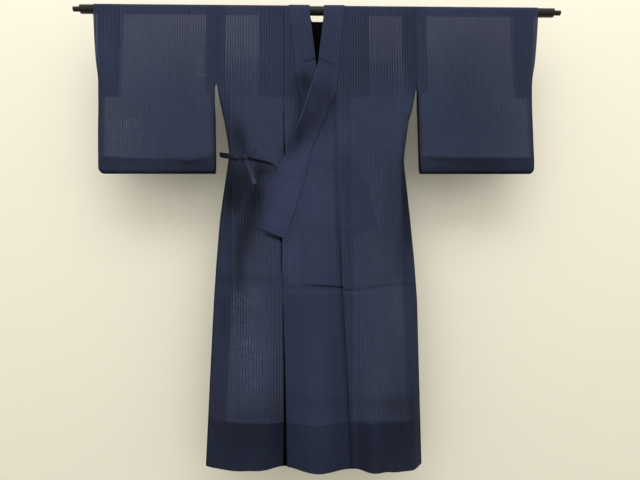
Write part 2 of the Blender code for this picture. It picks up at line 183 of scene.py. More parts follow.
bpy.ops.object.select_all(action="DESELECT")
bpy.ops.mesh.primitive_cylinder_add(
    vertices=ROD_SIDES, radius=ROD_RADIUS, depth=2 * ROD_HALF, rotation=(0.0, pi / 2, 0.0)
)
rod = bpy.context.active_object
rod.name = "lacquered_rod"
move_to_origin(rod)
bpy.ops.object.mode_set(mode="EDIT")
select_faces(lambda middle, normal: abs(normal.x) > 0.9)
bpy.ops.mesh.inset(thickness=ROD_RADIUS - PIN_RADIUS)
for end in (-1, 1):
    select_faces(lambda middle, normal: normal.x * end > 0.9 and hypot(middle.y, middle.z) < PIN_RADIUS / 2)
    bpy.ops.mesh.extrude_region_move(TRANSFORM_OT_translate={"value": (end * PIN_LENGTH, 0.0, 0.0)})
bpy.ops.object.mode_set(mode="OBJECT")
rounding = rod.modifiers.new("Rounded edges", "BEVEL")
rounding.width, rounding.segments, rounding.limit_method = ROD_EDGE_ROUNDING, 3, "ANGLE"
rounding.angle_limit = radians(40)
bpy.ops.object.modifier_apply(modifier=rounding.name)
bpy.ops.object.shade_smooth_by_angle(angle=radians(35))
rod.data.materials.append(black_lacquer())
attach(rod, "root")
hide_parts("rod")


# Body panels, left and right: each is one length of sheer navy gauze that passes over the rod, front and
# back in one, sewn down its side below the armhole. The shoulders, armholes, side seams and hem are the
# same cloth doubled: they let less light through and are painted darker too, so they show as darker
# bands, and the coat keeps the creases that it was stored in.
CLOTH_RADIUS = ROD_RADIUS + 0.0013  # of the cloth where it lies over the rod
QUARTER = CLOTH_RADIUS * pi / 2
HEM_DROP, ARMHOLE_DROP, SIDE_OPENING_END = 1.330, 0.228, 0.330
COAT_X, NECK_X = -0.0055, -0.003  # the coat's middle on the rod, and the neck's middle on the coat
LEFT_ARMHOLE, RIGHT_ARMHOLE = -0.302, 0.295
COAT_DEPTH, SETTLE_DROP, SIDE_TURN = 0.0105, 0.25, 0.030
MID_WALL = 0.0006  # from a solid's inner face to the middle of its wall
POINT_DROP, POINT_X, POINT_WIDTH = 0.263, 0.0552, 0.002  # the point where the overlap panel starts
# how much higher the top front lies over the under front, and where that starts
OVERLAP_RISE, COVER_WIDTH, COVER_START, COVER_TOP, COVER_GROWTH = 0.0043, 0.06, 0.005, 0.03, 0.11
UNDER_SHARE, COVERED_X, COVERED_WIDTH = 0.55, -0.125, 0.04  # the under front's share of the folds over it
GAP_RISE = {-1: 0.011, 1: 0.001}  # how much higher the armhole's opening starts behind
BACK_FREE_RUN, BACK_SEAM_RUN, SAG_SQUARENESS = 0.0485, 0.117, 0.6  # the collar's curve behind the rod
EASE = 0.010  # how far the corners of the tables are eased
CELL = 0.0038  # one cell of a sheet's mesh
CREASE_CELLS = ((0.830, 0.030, 0.0016), (0.670, 0.012, 0.0018))  # drop, reach and cell round two creases
TUCK = 0.008  # how far a sewn edge runs on under its neighbour
SEAM_STEP = 0.0005  # how far the upper cloth of a seam stands off the lower

BODY_EDGES = (
    # drop, left, right
    (0.000, LEFT_ARMHOLE, RIGHT_ARMHOLE),
    (ARMHOLE_DROP, LEFT_ARMHOLE, RIGHT_ARMHOLE),
    (0.269, -0.2945, 0.2885),
    (0.319, -0.2835, 0.2785),
    (0.335, -0.2805, 0.2710),
    (0.368, -0.2740, 0.2664),
    (0.432, -0.2635, 0.2570),
    (0.461, -0.2650, 0.2536),
    (0.550, -0.2775, 0.2620),
    (0.638, -0.2885, 0.2698),
    (0.755, -0.2967, 0.2790),
    (0.870, -0.3030, 0.2855),
    (1.100, -0.3118, 0.2870),
    (HEM_DROP, -0.3200, 0.2890),
)
COLLAR_ROWS = (
    # sewn drop, sewn x, free drop, free x, all measured from the neck's middle
    (0.0000, 0.0840, 0.000, 0.0215),
    (0.0450, 0.0787, 0.043, 0.0178),
    (0.0900, 0.0738, 0.086, 0.0124),
    (0.1350, 0.0692, 0.129, 0.0072),
    (0.1800, 0.0645, 0.172, 0.0026),
    (0.2215, 0.0600, 0.208, -0.0062),
    (POINT_DROP, POINT_X, 0.243, -0.0205),
    (0.3100, 0.0350, 0.285, -0.0330),
    (0.3550, 0.0150, 0.329, -0.0480),
    (0.4000, -0.0055, 0.374, -0.0685),
    (0.4450, -0.0215, 0.419, -0.0865),
    (0.4850, -0.0310, 0.460, -0.1025),
    (0.5200, -0.0380, 0.494, -0.1190),
    (0.5650, -0.0510, 0.530, -0.1500),
    (0.6100, -0.0650, 0.578, -0.1560),
    (0.6550, -0.0825, 0.622, -0.1650),
    (0.6955, -0.0958, 0.663, -0.1775),
)
COLLAR_END_DROP = COLLAR_ROWS[-1][0]
OVERLAP_EDGES = (
    # drop, seam x, front edge x, measured from the neck's middle
    (POINT_DROP, POINT_X, POINT_X),
    (0.374, 0.0560, -0.1025),
    (0.510, 0.0579, -0.1025),
    (COLLAR_END_DROP, 0.0638, -0.1025),
    (0.789, 0.0680, -0.1030),
    (0.898, 0.0723, -0.0985),
    (1.118, 0.0833, -0.0915),
    (HEM_DROP, 0.0905, -0.0878),
)

# Broad folds that hang out of the cloth and grow towards the hem
FOLD_GROWTH = 1.3
FRONT_FOLDS = (
    # x, half width, top drop, rise at the hem
    (-0.215, 0.112, 0.56, 0.034),
    (-0.010, 0.095, 0.50, 0.052),
    (0.085, 0.130, 0.55, 0.022),
    (0.205, 0.112, 0.55, 0.054),
    (-0.151, 0.053, 0.70, 0.017),
    (0.141, 0.046, 0.75, 0.026),
    (0.256, 0.034, 0.90, 0.010),
)
BACK_FOLDS = (
    (-0.150, 0.125, 0.45, 0.022),
    (0.140, 0.120, 0.50, 0.026),
    (0.000, 0.060, 0.60, 0.010),
)

# Creases. Each has a path of (x, drop, strength), a half width, a rise where it is strongest, and the
# share of light that it loses there, painted into the cloth's colour as shade (a negative share is painted
# light). A row without a rise is painted shade alone, as where a fold lies under another.
FRONT_CREASES = (
    # pressed line down the left front
    (((-0.1015, 0.008, 0.5), (-0.1015, 0.26, 0.4), (-0.1015, 0.32, 0.7)), 0.004, -0.0011, 0.8),
    (((-0.1015, 0.32, 0.7), (-0.101, 0.37, 0.9), (-0.1, 0.442, 1.0)), 0.0042, -0.0012, 0.88),
    (((-0.096, 0.008, 0.8), (-0.096, 0.438, 0.8)), 0.004, 0.0005, -0.2),
    # the sharp storage crease of the middle, and its soft ends
    (
        ((-0.046, 0.8235, 0.3), (-0.018, 0.8265, 0.8), (0.03, 0.83, 1.0), (0.066, 0.8325, 1.0)),
        0.0042, -0.0014, 0.78,
    ),
    (((-0.11, 0.826, 0.6), (-0.046, 0.825, 1.0), (0.07, 0.835, 1.0)), 0.01, 0.0008, 0.1),
    (((-0.3, 0.806, 0.6), (-0.2, 0.806, 1.0), (-0.1, 0.812, 0.7)), 0.02, -0.001, 0.2),
    (((-0.294, 0.819, 0.7), (-0.227, 0.814, 1.0), (-0.103, 0.824, 0.6)), 0.005, -0.0007, 0.16),
    (
        ((0.074, 0.842, 1.0), (0.125, 0.84, 1.0), (0.176, 0.83, 0.9),
         (0.215, 0.824, 0.5), (0.269, 0.825, 0.9)),
        0.0065, -0.001, 0.36,
    ),
    (((0.176, 0.812, 0.6), (0.214, 0.802, 1.0), (0.262, 0.792, 0.4)), 0.015, -0.001, 0.26),
    # the side's edge turns away beside the sleeve
    (((-0.2925, 0.27, 0.4), (-0.285, 0.305, 1.0), (-0.28, 0.33, 0.7)), 0.0034, 0.0, 0.7),
    # fainter creases from storage
    (((-0.25, 0.848, 0.7), (0.0, 0.852, 1.0), (0.25, 0.848, 0.7)), 0.014, 0.0011, -0.05),
    (((-0.04, 0.67, 0.3), (0.06, 0.672, 1.0), (0.14, 0.668, 0.3)), 0.005, -0.0006, 0.1),
    (((-0.3, 0.876, 0.9), (-0.262, 0.876, 0.2)), 0.0055, -0.0007, 0.18),
    (((-0.092, 0.515, 0.5), (-0.04, 0.515, 0.8)), 0.005, -0.0006, 0.12),
    (((0.013, 0.53, 0.8), (0.051, 0.53, 0.5)), 0.005, -0.0006, 0.12),
    (((-0.25, 1.19, 0.5), (-0.12, 1.196, 0.8)), 0.02, -0.0012, 0.08),
    (((-0.08, 1.15, 0.6), (0.06, 1.155, 1.0), (0.24, 1.148, 1.0)), 0.03, -0.0006, 0.13),
    # soft folds where the bow gathers the left side
    (((-0.262, 0.3, 0.3), (-0.238, 0.375, 0.8), (-0.224, 0.447, 1.0)), 0.03, -0.003, 0.3),
    (((-0.222, 0.38, 0.3), (-0.218, 0.42, 0.8), (-0.216, 0.447, 1.0)), 0.012, -0.001, 0.3),
    (((-0.25, 0.478, 1.0), (-0.262, 0.56, 0.9), (-0.276, 0.69, 0.3)), 0.018, -0.0022, 0.28),
    (
        ((-0.212, 0.48, 1.0), (-0.205, 0.56, 1.0), (-0.2, 0.64, 0.8), (-0.205, 0.76, 0.2)),
        0.024, -0.003, 0.22,
    ),
    (((-0.234, 0.5, 0.8), (-0.238, 0.6, 0.5), (-0.246, 0.68, 0.1)), 0.012, 0.0012, 0.1),
    (((-0.18, 0.56, 0.5), (-0.19, 0.64, 0.9), (-0.198, 0.7, 0.3)), 0.022, -0.001, 0.2),
    # the right side turns in beside the waist
    (((0.244, 0.46, 0.8), (0.25, 0.53, 1.0), (0.256, 0.6, 0.9), (0.26, 0.7, 0.6)), 0.018, -0.0012, 0.42),
    (((0.24, 0.64, 0.3), (0.232, 0.72, 0.8), (0.228, 0.79, 0.8)), 0.018, -0.0008, 0.28),
    (((0.264, 0.33, 0.7), (0.274, 0.331, 1.0), (0.286, 0.328, 1.0)), 0.006, -0.0006, 0.6),
    (((0.236, 0.44, 0.2), (0.25, 0.56, 0.8), (0.258, 0.7, 0.8), (0.266, 0.76, 0.2)), 0.026, -0.0024, 0.16),
    # wide slack between the collar and the overlap seam, and its lower lip
    (
        ((0.04, 0.3, 0.6), (0.02, 0.34, 1.0), (-0.022, 0.378, 1.0),
         (-0.066, 0.42, 0.9), (-0.098, 0.445, 0.6)),
        0.04, -0.0026, 0.24,
    ),
    (((0.03, 0.215, 0.5), (0.015, 0.27, 0.8), (-0.015, 0.33, 0.8), (-0.06, 0.39, 0.5)), 0.05, 0.0, 0.16),
    (
        ((0.03, 0.23, 0.7), (0.006, 0.28, 1.0), (-0.025, 0.328, 1.0),
         (-0.056, 0.374, 1.0), (-0.088, 0.428, 0.7)),
        0.036, 0.0, 0.24,
    ),
    (((0.058, 0.395, 0.5), (0.015, 0.43, 1.0), (-0.05, 0.478, 0.9)), 0.034, 0.0022, -0.07),
)

# Broad patches of painted shade where the cloth sinks in softly, and of painted light where it swells;
# they don't move the surface
DEEPEST_PAINTED_SHADE = 0.74
FRONT_PAINTED_SHADE = (
    # x, drop, half width, half length, lost light painted as shade
    (-0.198, 0.560, 0.090, 0.160, 0.52),
    (-0.268, 0.540, 0.055, 0.150, 0.46),
    (-0.232, 0.512, 0.050, 0.085, 0.36),
    (-0.231, 0.795, 0.036, 0.120, 0.52),
    (-0.180, 0.862, 0.032, 0.045, -0.22),
    (-0.262, 0.920, 0.030, 0.120, 0.20),
    (-0.172, 0.490, 0.032, 0.060, 0.46),
    (-0.142, 0.490, 0.034, 0.032, 0.42),
    (-0.180, 0.565, 0.028, 0.060, 0.42),
    (-0.245, 0.578, 0.034, 0.064, 0.32),
    (-0.226, 0.700, 0.040, 0.100, 0.30),
    (-0.247, 0.385, 0.046, 0.090, 0.38),
    (-0.212, 0.670, 0.080, 0.150, 0.34),
    (-0.222, 0.405, 0.060, 0.090, 0.22),
    (-0.040, 0.275, 0.075, 0.125, 0.46),
    (-0.040, 0.222, 0.044, 0.055, 0.36),
    (-0.060, 0.372, 0.032, 0.075, 0.32),
    (0.038, 0.285, 0.028, 0.065, 0.30),
    (-0.016, 0.295, 0.024, 0.045, -0.32),
    (0.000, 0.110, 0.120, 0.150, 0.14),
    (0.225, 0.640, 0.075, 0.260, 0.36),
    (0.048, 1.040, 0.050, 0.320, 0.16),
    (0.235, 0.110, 0.200, 0.260, 0.26),
    (0.120, 0.500, 0.200, 0.300, 0.08),
    (0.240, 1.180, 0.110, 0.180, 0.26),
    (-0.190, 1.200, 0.140, 0.130, 0.20),
    (-0.175, 0.170, 0.110, 0.180, -0.10),
    (-0.180, 1.020, 0.085, 0.240, -0.28),
    (-0.225, 0.915, 0.036, 0.075, 0.26),
    (0.215, 1.165, 0.080, 0.055, 0.22),
    (-0.010, 1.120, 0.110, 0.340, -0.12),
    (0.000, 0.580, 0.130, 0.230, -0.27),
    (-0.030, 0.770, 0.100, 0.130, -0.18),
    (-0.082, 0.750, 0.046, 0.140, -0.26),
    (0.072, 0.395, 0.050, 0.110, -0.32),
    (0.018, 0.445, 0.050, 0.045, -0.16),
    (0.250, 0.200, 0.040, 0.200, -0.16),
    (0.268, 0.320, 0.034, 0.130, -0.32),
    (0.225, 1.030, 0.050, 0.140, 0.18),
    (-0.130, 1.230, 0.080, 0.180, 0.12),
    (0.150, 1.290, 0.160, 0.220, 0.16),
    (-0.240, 1.300, 0.120, 0.240, 0.10),
)
# The fronts part beside the top front's edge, and the gap is painted dark as a shadow
GAP_WIDTHS = (
    # drop, width
    (COLLAR_END_DROP, 0.0060),
    (0.740, 0.0045),
    (0.786, 0.0025),
    (0.800, 0.0000),
    (0.860, 0.0000),
    (0.885, 0.0022),
    (1.037, 0.0060),
    (1.200, 0.0085),
    (HEM_DROP, 0.0120),
)
# painted shadow in the gap, and painted shade softly beside it near the hem
GAP_LOST, GAP_HALO_LOST = 0.93, 0.22  # light lost in the gap, and softly beside it near the hem
# painted shadow under the collar's lower end
COLLAR_END_SHADOW = (((-0.155, 0.68, 0.5), (-0.13, 0.6875, 1.0), (-0.106, 0.697, 1.0)), 0.0085, 0.0, 0.95)

BACK_CREASES = (
    (
        ((-0.29, 0.822, 0.5), (-0.12, 0.828, 1.0), (0.03, 0.824, 0.6), (0.265, 0.831, 0.8)),
        0.0075, -0.0014, 0.26,
    ),
    (((-0.24, 0.848, 0.8), (0.25, 0.85, 0.8)), 0.012, 0.001, -0.08),
    (((-0.18, 0.668, 0.5), (-0.02, 0.674, 0.9), (0.11, 0.669, 0.5)), 0.006, -0.0009, 0.18),
    (((0.105, 0.06, 0.5), (0.104, 0.4, 0.9), (0.106, 0.64, 0.4)), 0.0045, -0.0008, 0.22),
    (((-0.112, 0.12, 0.4), (-0.11, 0.47, 0.8)), 0.0045, -0.0007, 0.18),
    (((-0.24, 0.33, 0.5), (-0.222, 0.44, 1.0), (-0.232, 0.6, 0.4)), 0.032, -0.0026, 0.22),
    (((0.232, 0.35, 0.4), (0.216, 0.47, 1.0), (0.238, 0.64, 0.4)), 0.034, -0.0028, 0.24),
    (((-0.06, 0.3, 0.3), (-0.08, 0.52, 0.8), (-0.11, 0.8, 0.4)), 0.04, 0.0024, -0.03),
    (((0.07, 0.26, 0.3), (0.08, 0.48, 0.7), (0.12, 0.76, 0.3)), 0.044, 0.0022, -0.03),
    (((0.14, 0.965, 0.5), (0.23, 0.958, 0.9)), 0.008, -0.0008, 0.14),
    (((-0.21, 1.06, 0.4), (-0.09, 1.066, 0.8)), 0.01, -0.0008, 0.12),
)


def smooth(share):
    """0 to 1 with a level start and end."""
    share = np.clip(share, 0.0, 1.0)
    return share * share * (3 - 2 * share)


def around(place, middle, reach):
    """1 in the middle, easing to 0 at this reach on either side."""
    return smooth(1 - np.abs(place - middle) / reach)


def rounded(share):
    """Height of a quarter ellipse at this share of its width."""
    return np.sqrt(np.maximum(1 - (1 - np.clip(share, 0.0, 1.0)) ** 2, 0.0))


def read(table, column, drop):
    """A table's column at these drops, eased over the table's corners."""
    drops = [row[0] for row in table]
    values = [row[column] for row in table]
    return sum(np.interp(drop + away, drops, values) for away in (-EASE, 0.0, EASE)) / 3


def spaced(start, end, step, fine=()):
    """Places from start to end, a step apart, and closer together round the fine places."""
    places = np.linspace(start, end, round((end - start) / step) + 1)
    for middle, reach, close in fine:
        places = places[np.abs(places - middle) > reach]
        near = np.linspace(middle - reach, middle + reach, round(2 * reach / close) + 1)
        places = np.concatenate([places, near])
    return np.sort(places)


def back_from_edge(reach, count):
    """Distances from an edge that turns over, closest together at the edge."""
    return reach * (1 - np.cos(np.linspace(0.0, pi / 2, count)))


def over_rod(drops):
    """Lengths along the cloth from the front hem, over the rod, to the back hem, for these drops."""
    arc = np.linspace(QUARTER, -QUARTER, 17)[1:-1]
    down = QUARTER + np.sort(drops)
    return np.concatenate([down[::-1], arc, -down])


def fallen(run):
    """How far down this length of the cloth hangs."""
    return np.maximum(np.abs(run) - QUARTER, 0.0)


def creased(creases, x, drop):
    """The height and the painted shade that a table of creases gives the cloth at these places."""
    height, shade = np.zeros_like(x), np.zeros_like(x)
    for path, half_width, rise, lost in creases:
        away, strength = np.full_like(x, 9.0), np.zeros_like(x)
        for (x0, drop0, force0), (x1, drop1, force1) in zip(path, path[1:]):
            across, down = x1 - x0, drop1 - drop0
            share = ((x - x0) * across + (drop - drop0) * down) / (across**2 + down**2)
            share = np.clip(share, 0.0, 1.0)
            here = np.hypot(x - x0 - share * across, drop - drop0 - share * down)
            strength = np.where(here < away, force0 + share * (force1 - force0), strength)
            away = np.minimum(away, here)
        near = strength * np.cos(np.minimum(away / half_width, 1.0) * pi / 2) ** 2
        height += rise * near
        shade += lost * near
    return height, shade


def painted_patch_shade(shade_patches, x, drop):
    """The painted shade of broad patches. Where they overlap, they don't turn black."""
    lost = np.zeros_like(x)
    for middle, middle_drop, half_width, half_length, share in shade_patches:
        away = np.hypot((x - middle) / half_width, (drop - middle_drop) / half_length)
        lost += share * np.cos(np.minimum(away, 1.0) * pi / 2) ** 2
    return np.minimum(lost, DEEPEST_PAINTED_SHADE)


def beside_gap(x, drop):
    """Painted shade on the left front beside the top front's edge and under the collar's end."""
    edge = NECK_X + read(OVERLAP_EDGES, 2, drop)
    width = read(GAP_WIDTHS, 1, drop)
    below_collar = drop > COLLAR_END_DROP - 0.01
    gap = smooth((x - edge + width + 0.0012) / 0.0024) * smooth(width / 0.0015) * below_collar
    soft = smooth(1 - (edge - x) / 0.045) * smooth((drop - 1.02) / 0.20)
    return GAP_LOST * gap + GAP_HALO_LOST * soft + creased((COLLAR_END_SHADOW,), x, drop)[1]


def fold_rise(folds, x, drop):
    """How far a table of broad folds brings the cloth out at these places."""
    rise = np.zeros_like(x)
    for middle, half_width, top, at_hem in folds:
        away = np.minimum(np.abs(x - middle) / half_width, 1.0)
        grown = np.clip((drop - top) / (HEM_DROP - top), 0.0, 1.0) ** FOLD_GROWTH
        rise += at_hem * grown * np.cos(away * pi / 2) ** 2
    return rise


def ripple(x, run):
    """The slight unevenness of soft cloth that hangs by its own weight."""
    slow = np.sin(23 * x + 5 * run + 1.3) * np.sin(9 * run - 6 * x)
    quick = np.sin(61 * x - 14 * run) * np.sin(27 * run + 17 * x + 0.7)
    return (0.00045 * slow + 0.00022 * quick) * smooth(np.abs(run) / 0.3)


def settled(drop, depth):
    """From the rod's width at the top to the given depth."""
    return depth + (CLOTH_RADIUS - MID_WALL - depth) * (1 - smooth(drop / SETTLE_DROP))


def collar_free_edge(drop):
    """The free edge of the top front, and of its mirrored twin, measured from the neck's middle."""
    along_collar = read(tuple((row[2], row[3]) for row in COLLAR_ROWS), 1, drop)
    below = read(OVERLAP_EDGES, 2, np.maximum(drop, COLLAR_END_DROP))
    return np.where(drop <= COLLAR_ROWS[-1][2], along_collar, below)


def under_collar_edge(drop):
    """Where the under front's collar or edge lies under the top front, easing out where the collar ends."""
    past = smooth((drop - COLLAR_ROWS[-1][2]) / 0.12)
    in_collar = np.minimum(drop, COLLAR_ROWS[-1][2])
    return NECK_X - collar_free_edge(in_collar) * (1 - past) - collar_free_edge(drop) * past


def front_surface(x, drop, on_top):
    """How far a front's inner face stands from the middle plane, and the painted shade of its folds."""
    height, shade = creased(FRONT_CREASES, x, drop)
    shade = 1 - (1 - shade) * (1 - painted_patch_shade(FRONT_PAINTED_SHADE, x, drop))
    folds = fold_rise(FRONT_FOLDS, x, drop)
    depth = settled(drop, COAT_DEPTH) + height + ripple(x, drop)
    if on_top:
        beside = 1 - smooth((x - under_collar_edge(drop) - COVER_START) / COVER_WIDTH)
        return depth + folds + OVERLAP_RISE * beside * smooth((drop - COVER_TOP) / COVER_GROWTH), shade
    covered = smooth((x - COVERED_X) / COVERED_WIDTH)
    return depth + folds * (1 - covered * (1 - UNDER_SHARE)), shade


def back_surface(x, drop):
    """How far the back's inner face stands from the middle plane, and the painted shade of its folds."""
    height, shade = creased(BACK_CREASES, x, drop)
    folds = fold_rise(BACK_FOLDS, x, drop)
    return settled(drop, COAT_DEPTH) + folds + height + ripple(x, drop + 2.0), shade


def body_surface(x, run, on_top):
    """Depth and painted shade for points of the coat's body, in front of the rod and behind it."""
    drop = fallen(run)
    front, front_shade = front_surface(x, drop, on_top)
    back, back_shade = back_surface(x, drop)
    return np.where(run > 0, front, back), np.where(run > 0, front_shade, back_shade)


def hang(x, run, depth, lift):
    """The places of cloth that hangs over the rod, this deep below it, each lifted off the surface."""
    on_rod = np.abs(run) <= QUARTER
    angle = run / CLOTH_RADIUS
    radius = CLOTH_RADIUS - MID_WALL + lift
    y = np.where(on_rod, -radius * np.sin(angle), -np.sign(run) * (depth + lift))
    z = np.where(on_rod, radius * np.cos(angle), QUARTER - np.abs(run))
    return np.stack([COAT_X + x, y, z], axis=-1)


def inside(*reaches):
    """Signed distance into the place that all these reaches share: positive inside it."""
    return np.minimum.reduce(np.broadcast_arrays(*reaches))


def turn_in(grid, rim, hem=0.006, ply=0.0011):
    """Folds one rim of a grid back behind itself, as the narrow hem that gives an edge its thickness."""
    turned = {"first row": grid, "last row": grid[::-1]}.get(rim)
    if turned is None:
        columns = grid.swapaxes(0, 1)
        turned = columns if rim == "first column" else columns[::-1]
    edge, next_in = turned[0].copy(), turned[1]
    inward = next_in[:, :3] - edge[:, :3]
    inward /= np.maximum(np.linalg.norm(inward, axis=1, keepdims=True), 1e-9)
    behind = np.zeros_like(inward)
    behind[:, 1] = -np.clip(edge[:, 1] / 0.004, -1.0, 1.0)
    rows = []
    for along, back in ((hem, ply), (0.4 * ply, ply), (-0.35 * ply, ply / 2)):
        row = edge.copy()
        row[:, :3] += along * inward + back * behind
        rows.append(row)
    turned = np.concatenate([np.array(rows), turned])
    if rim.startswith("last"):
        turned = turned[::-1]
    return turned if rim.endswith("row") else turned.swapaxes(0, 1)


CLOTH_MARKS = ("doubled", "plies", "shade", "painted_glint", "clear")


def cloth_grid(place, across, along, doubled=-1.0, plies=0.0, shade=0.0, painted_glint=0.0, clear=0.0):
    """A grid of points with their place, their place across and along the weave, and their marks.

    The marks are the signed distance into doubled cloth, the extra plies, the painted shade (painted light
    where negative), the strength of the painted glints where open stripes cross, and how clearly the
    stripes show.
    """
    columns = (across, along, doubled, plies, shade, painted_glint, clear)
    columns = [np.broadcast_to(column, place.shape[:2]) for column in columns]
    return np.concatenate([place, np.stack(columns, axis=-1)], axis=-1)


def lay_cloth(name, grid, material):
    """A sheet from a grid of cloth. Edges that meet are sewn."""
    rows, columns = grid.shape[:2]
    index = np.arange(rows * columns).reshape(rows, columns)
    quads = np.stack([index[:-1, :-1], index[:-1, 1:], index[1:, 1:], index[1:, :-1]], axis=-1)
    quads = quads.reshape(-1, 4)
    points = grid.reshape(-1, grid.shape[2])
    mesh = bpy.data.meshes.new(name)
    mesh.from_pydata(points[:, :3].tolist(), [], quads.tolist())
    weave = mesh.uv_layers.new(name="cloth")
    weave.uv.foreach_set("vector", points[quads.reshape(-1), 3:5].astype(np.float32).reshape(-1))
    for column, mark in enumerate(CLOTH_MARKS, start=5):
        layer = mesh.attributes.new(mark, "FLOAT", "POINT")
        layer.data.foreach_set("value", points[:, column].astype(np.float32))
    sewing = bmesh.new()
    sewing.from_mesh(mesh)
    bmesh.ops.remove_doubles(sewing, verts=sewing.verts, dist=0.00001)
    sewing.to_mesh(mesh)
    sewing.free()
    mesh.shade_smooth()
    mesh.materials.append(material)
    sheet = bpy.data.objects.new(name, mesh)
    bpy.context.scene.collection.objects.link(sheet)
    return sheet


def math_node(tree, operation, first, second=0.0, third=0.0, clamp=False):
    """The output of a Math node."""
    inputs = {0: first, 1: second, 2: third}
    return node(tree, "ShaderNodeMath", inputs, operation=operation, use_clamp=clamp).outputs[0]


def range_node(tree, value, low, high, to_low=0.0, to_high=1.0):
    """The value, eased from its own range to another."""
    inputs = {"Value": value, "From Min": low, "From Max": high, "To Min": to_low, "To Max": to_high}
    return node(tree, "ShaderNodeMapRange", inputs, interpolation_type="SMOOTHSTEP").outputs[0]


def noise_node(tree, place, scale, detail=2.0):
    """Flat noise at a place."""
    inputs = {"Vector": place, "Scale": scale, "Detail": detail}
    return node(tree, "ShaderNodeTexNoise", inputs, noise_dimensions="2D").outputs["Fac"]


STRIPE_PITCH, STRIPE_WANDER = 0.0078, 0.0022
THREAD_PITCH = 0.00062
DASHES_PER_METRE, GLINTS_PER_METRE = 72.0, 150.0
# painted glint colour, standing in for the light through the holes where open stripes cross
PAINTED_GLINT_COLOUR = (0.085, 0.087, 0.085)  # light through the holes where two layers' open stripes cross
GAUZE_SOCKETS = (
    ("INPUT", "Colour", "Color"),
    ("INPUT", "Cover", "Float"),
    ("INPUT", "Openness", "Float"),
    ("OUTPUT", "Colour", "Color"),
    ("OUTPUT", "Cover", "Float"),
    ("OUTPUT", "Height", "Float"),
)


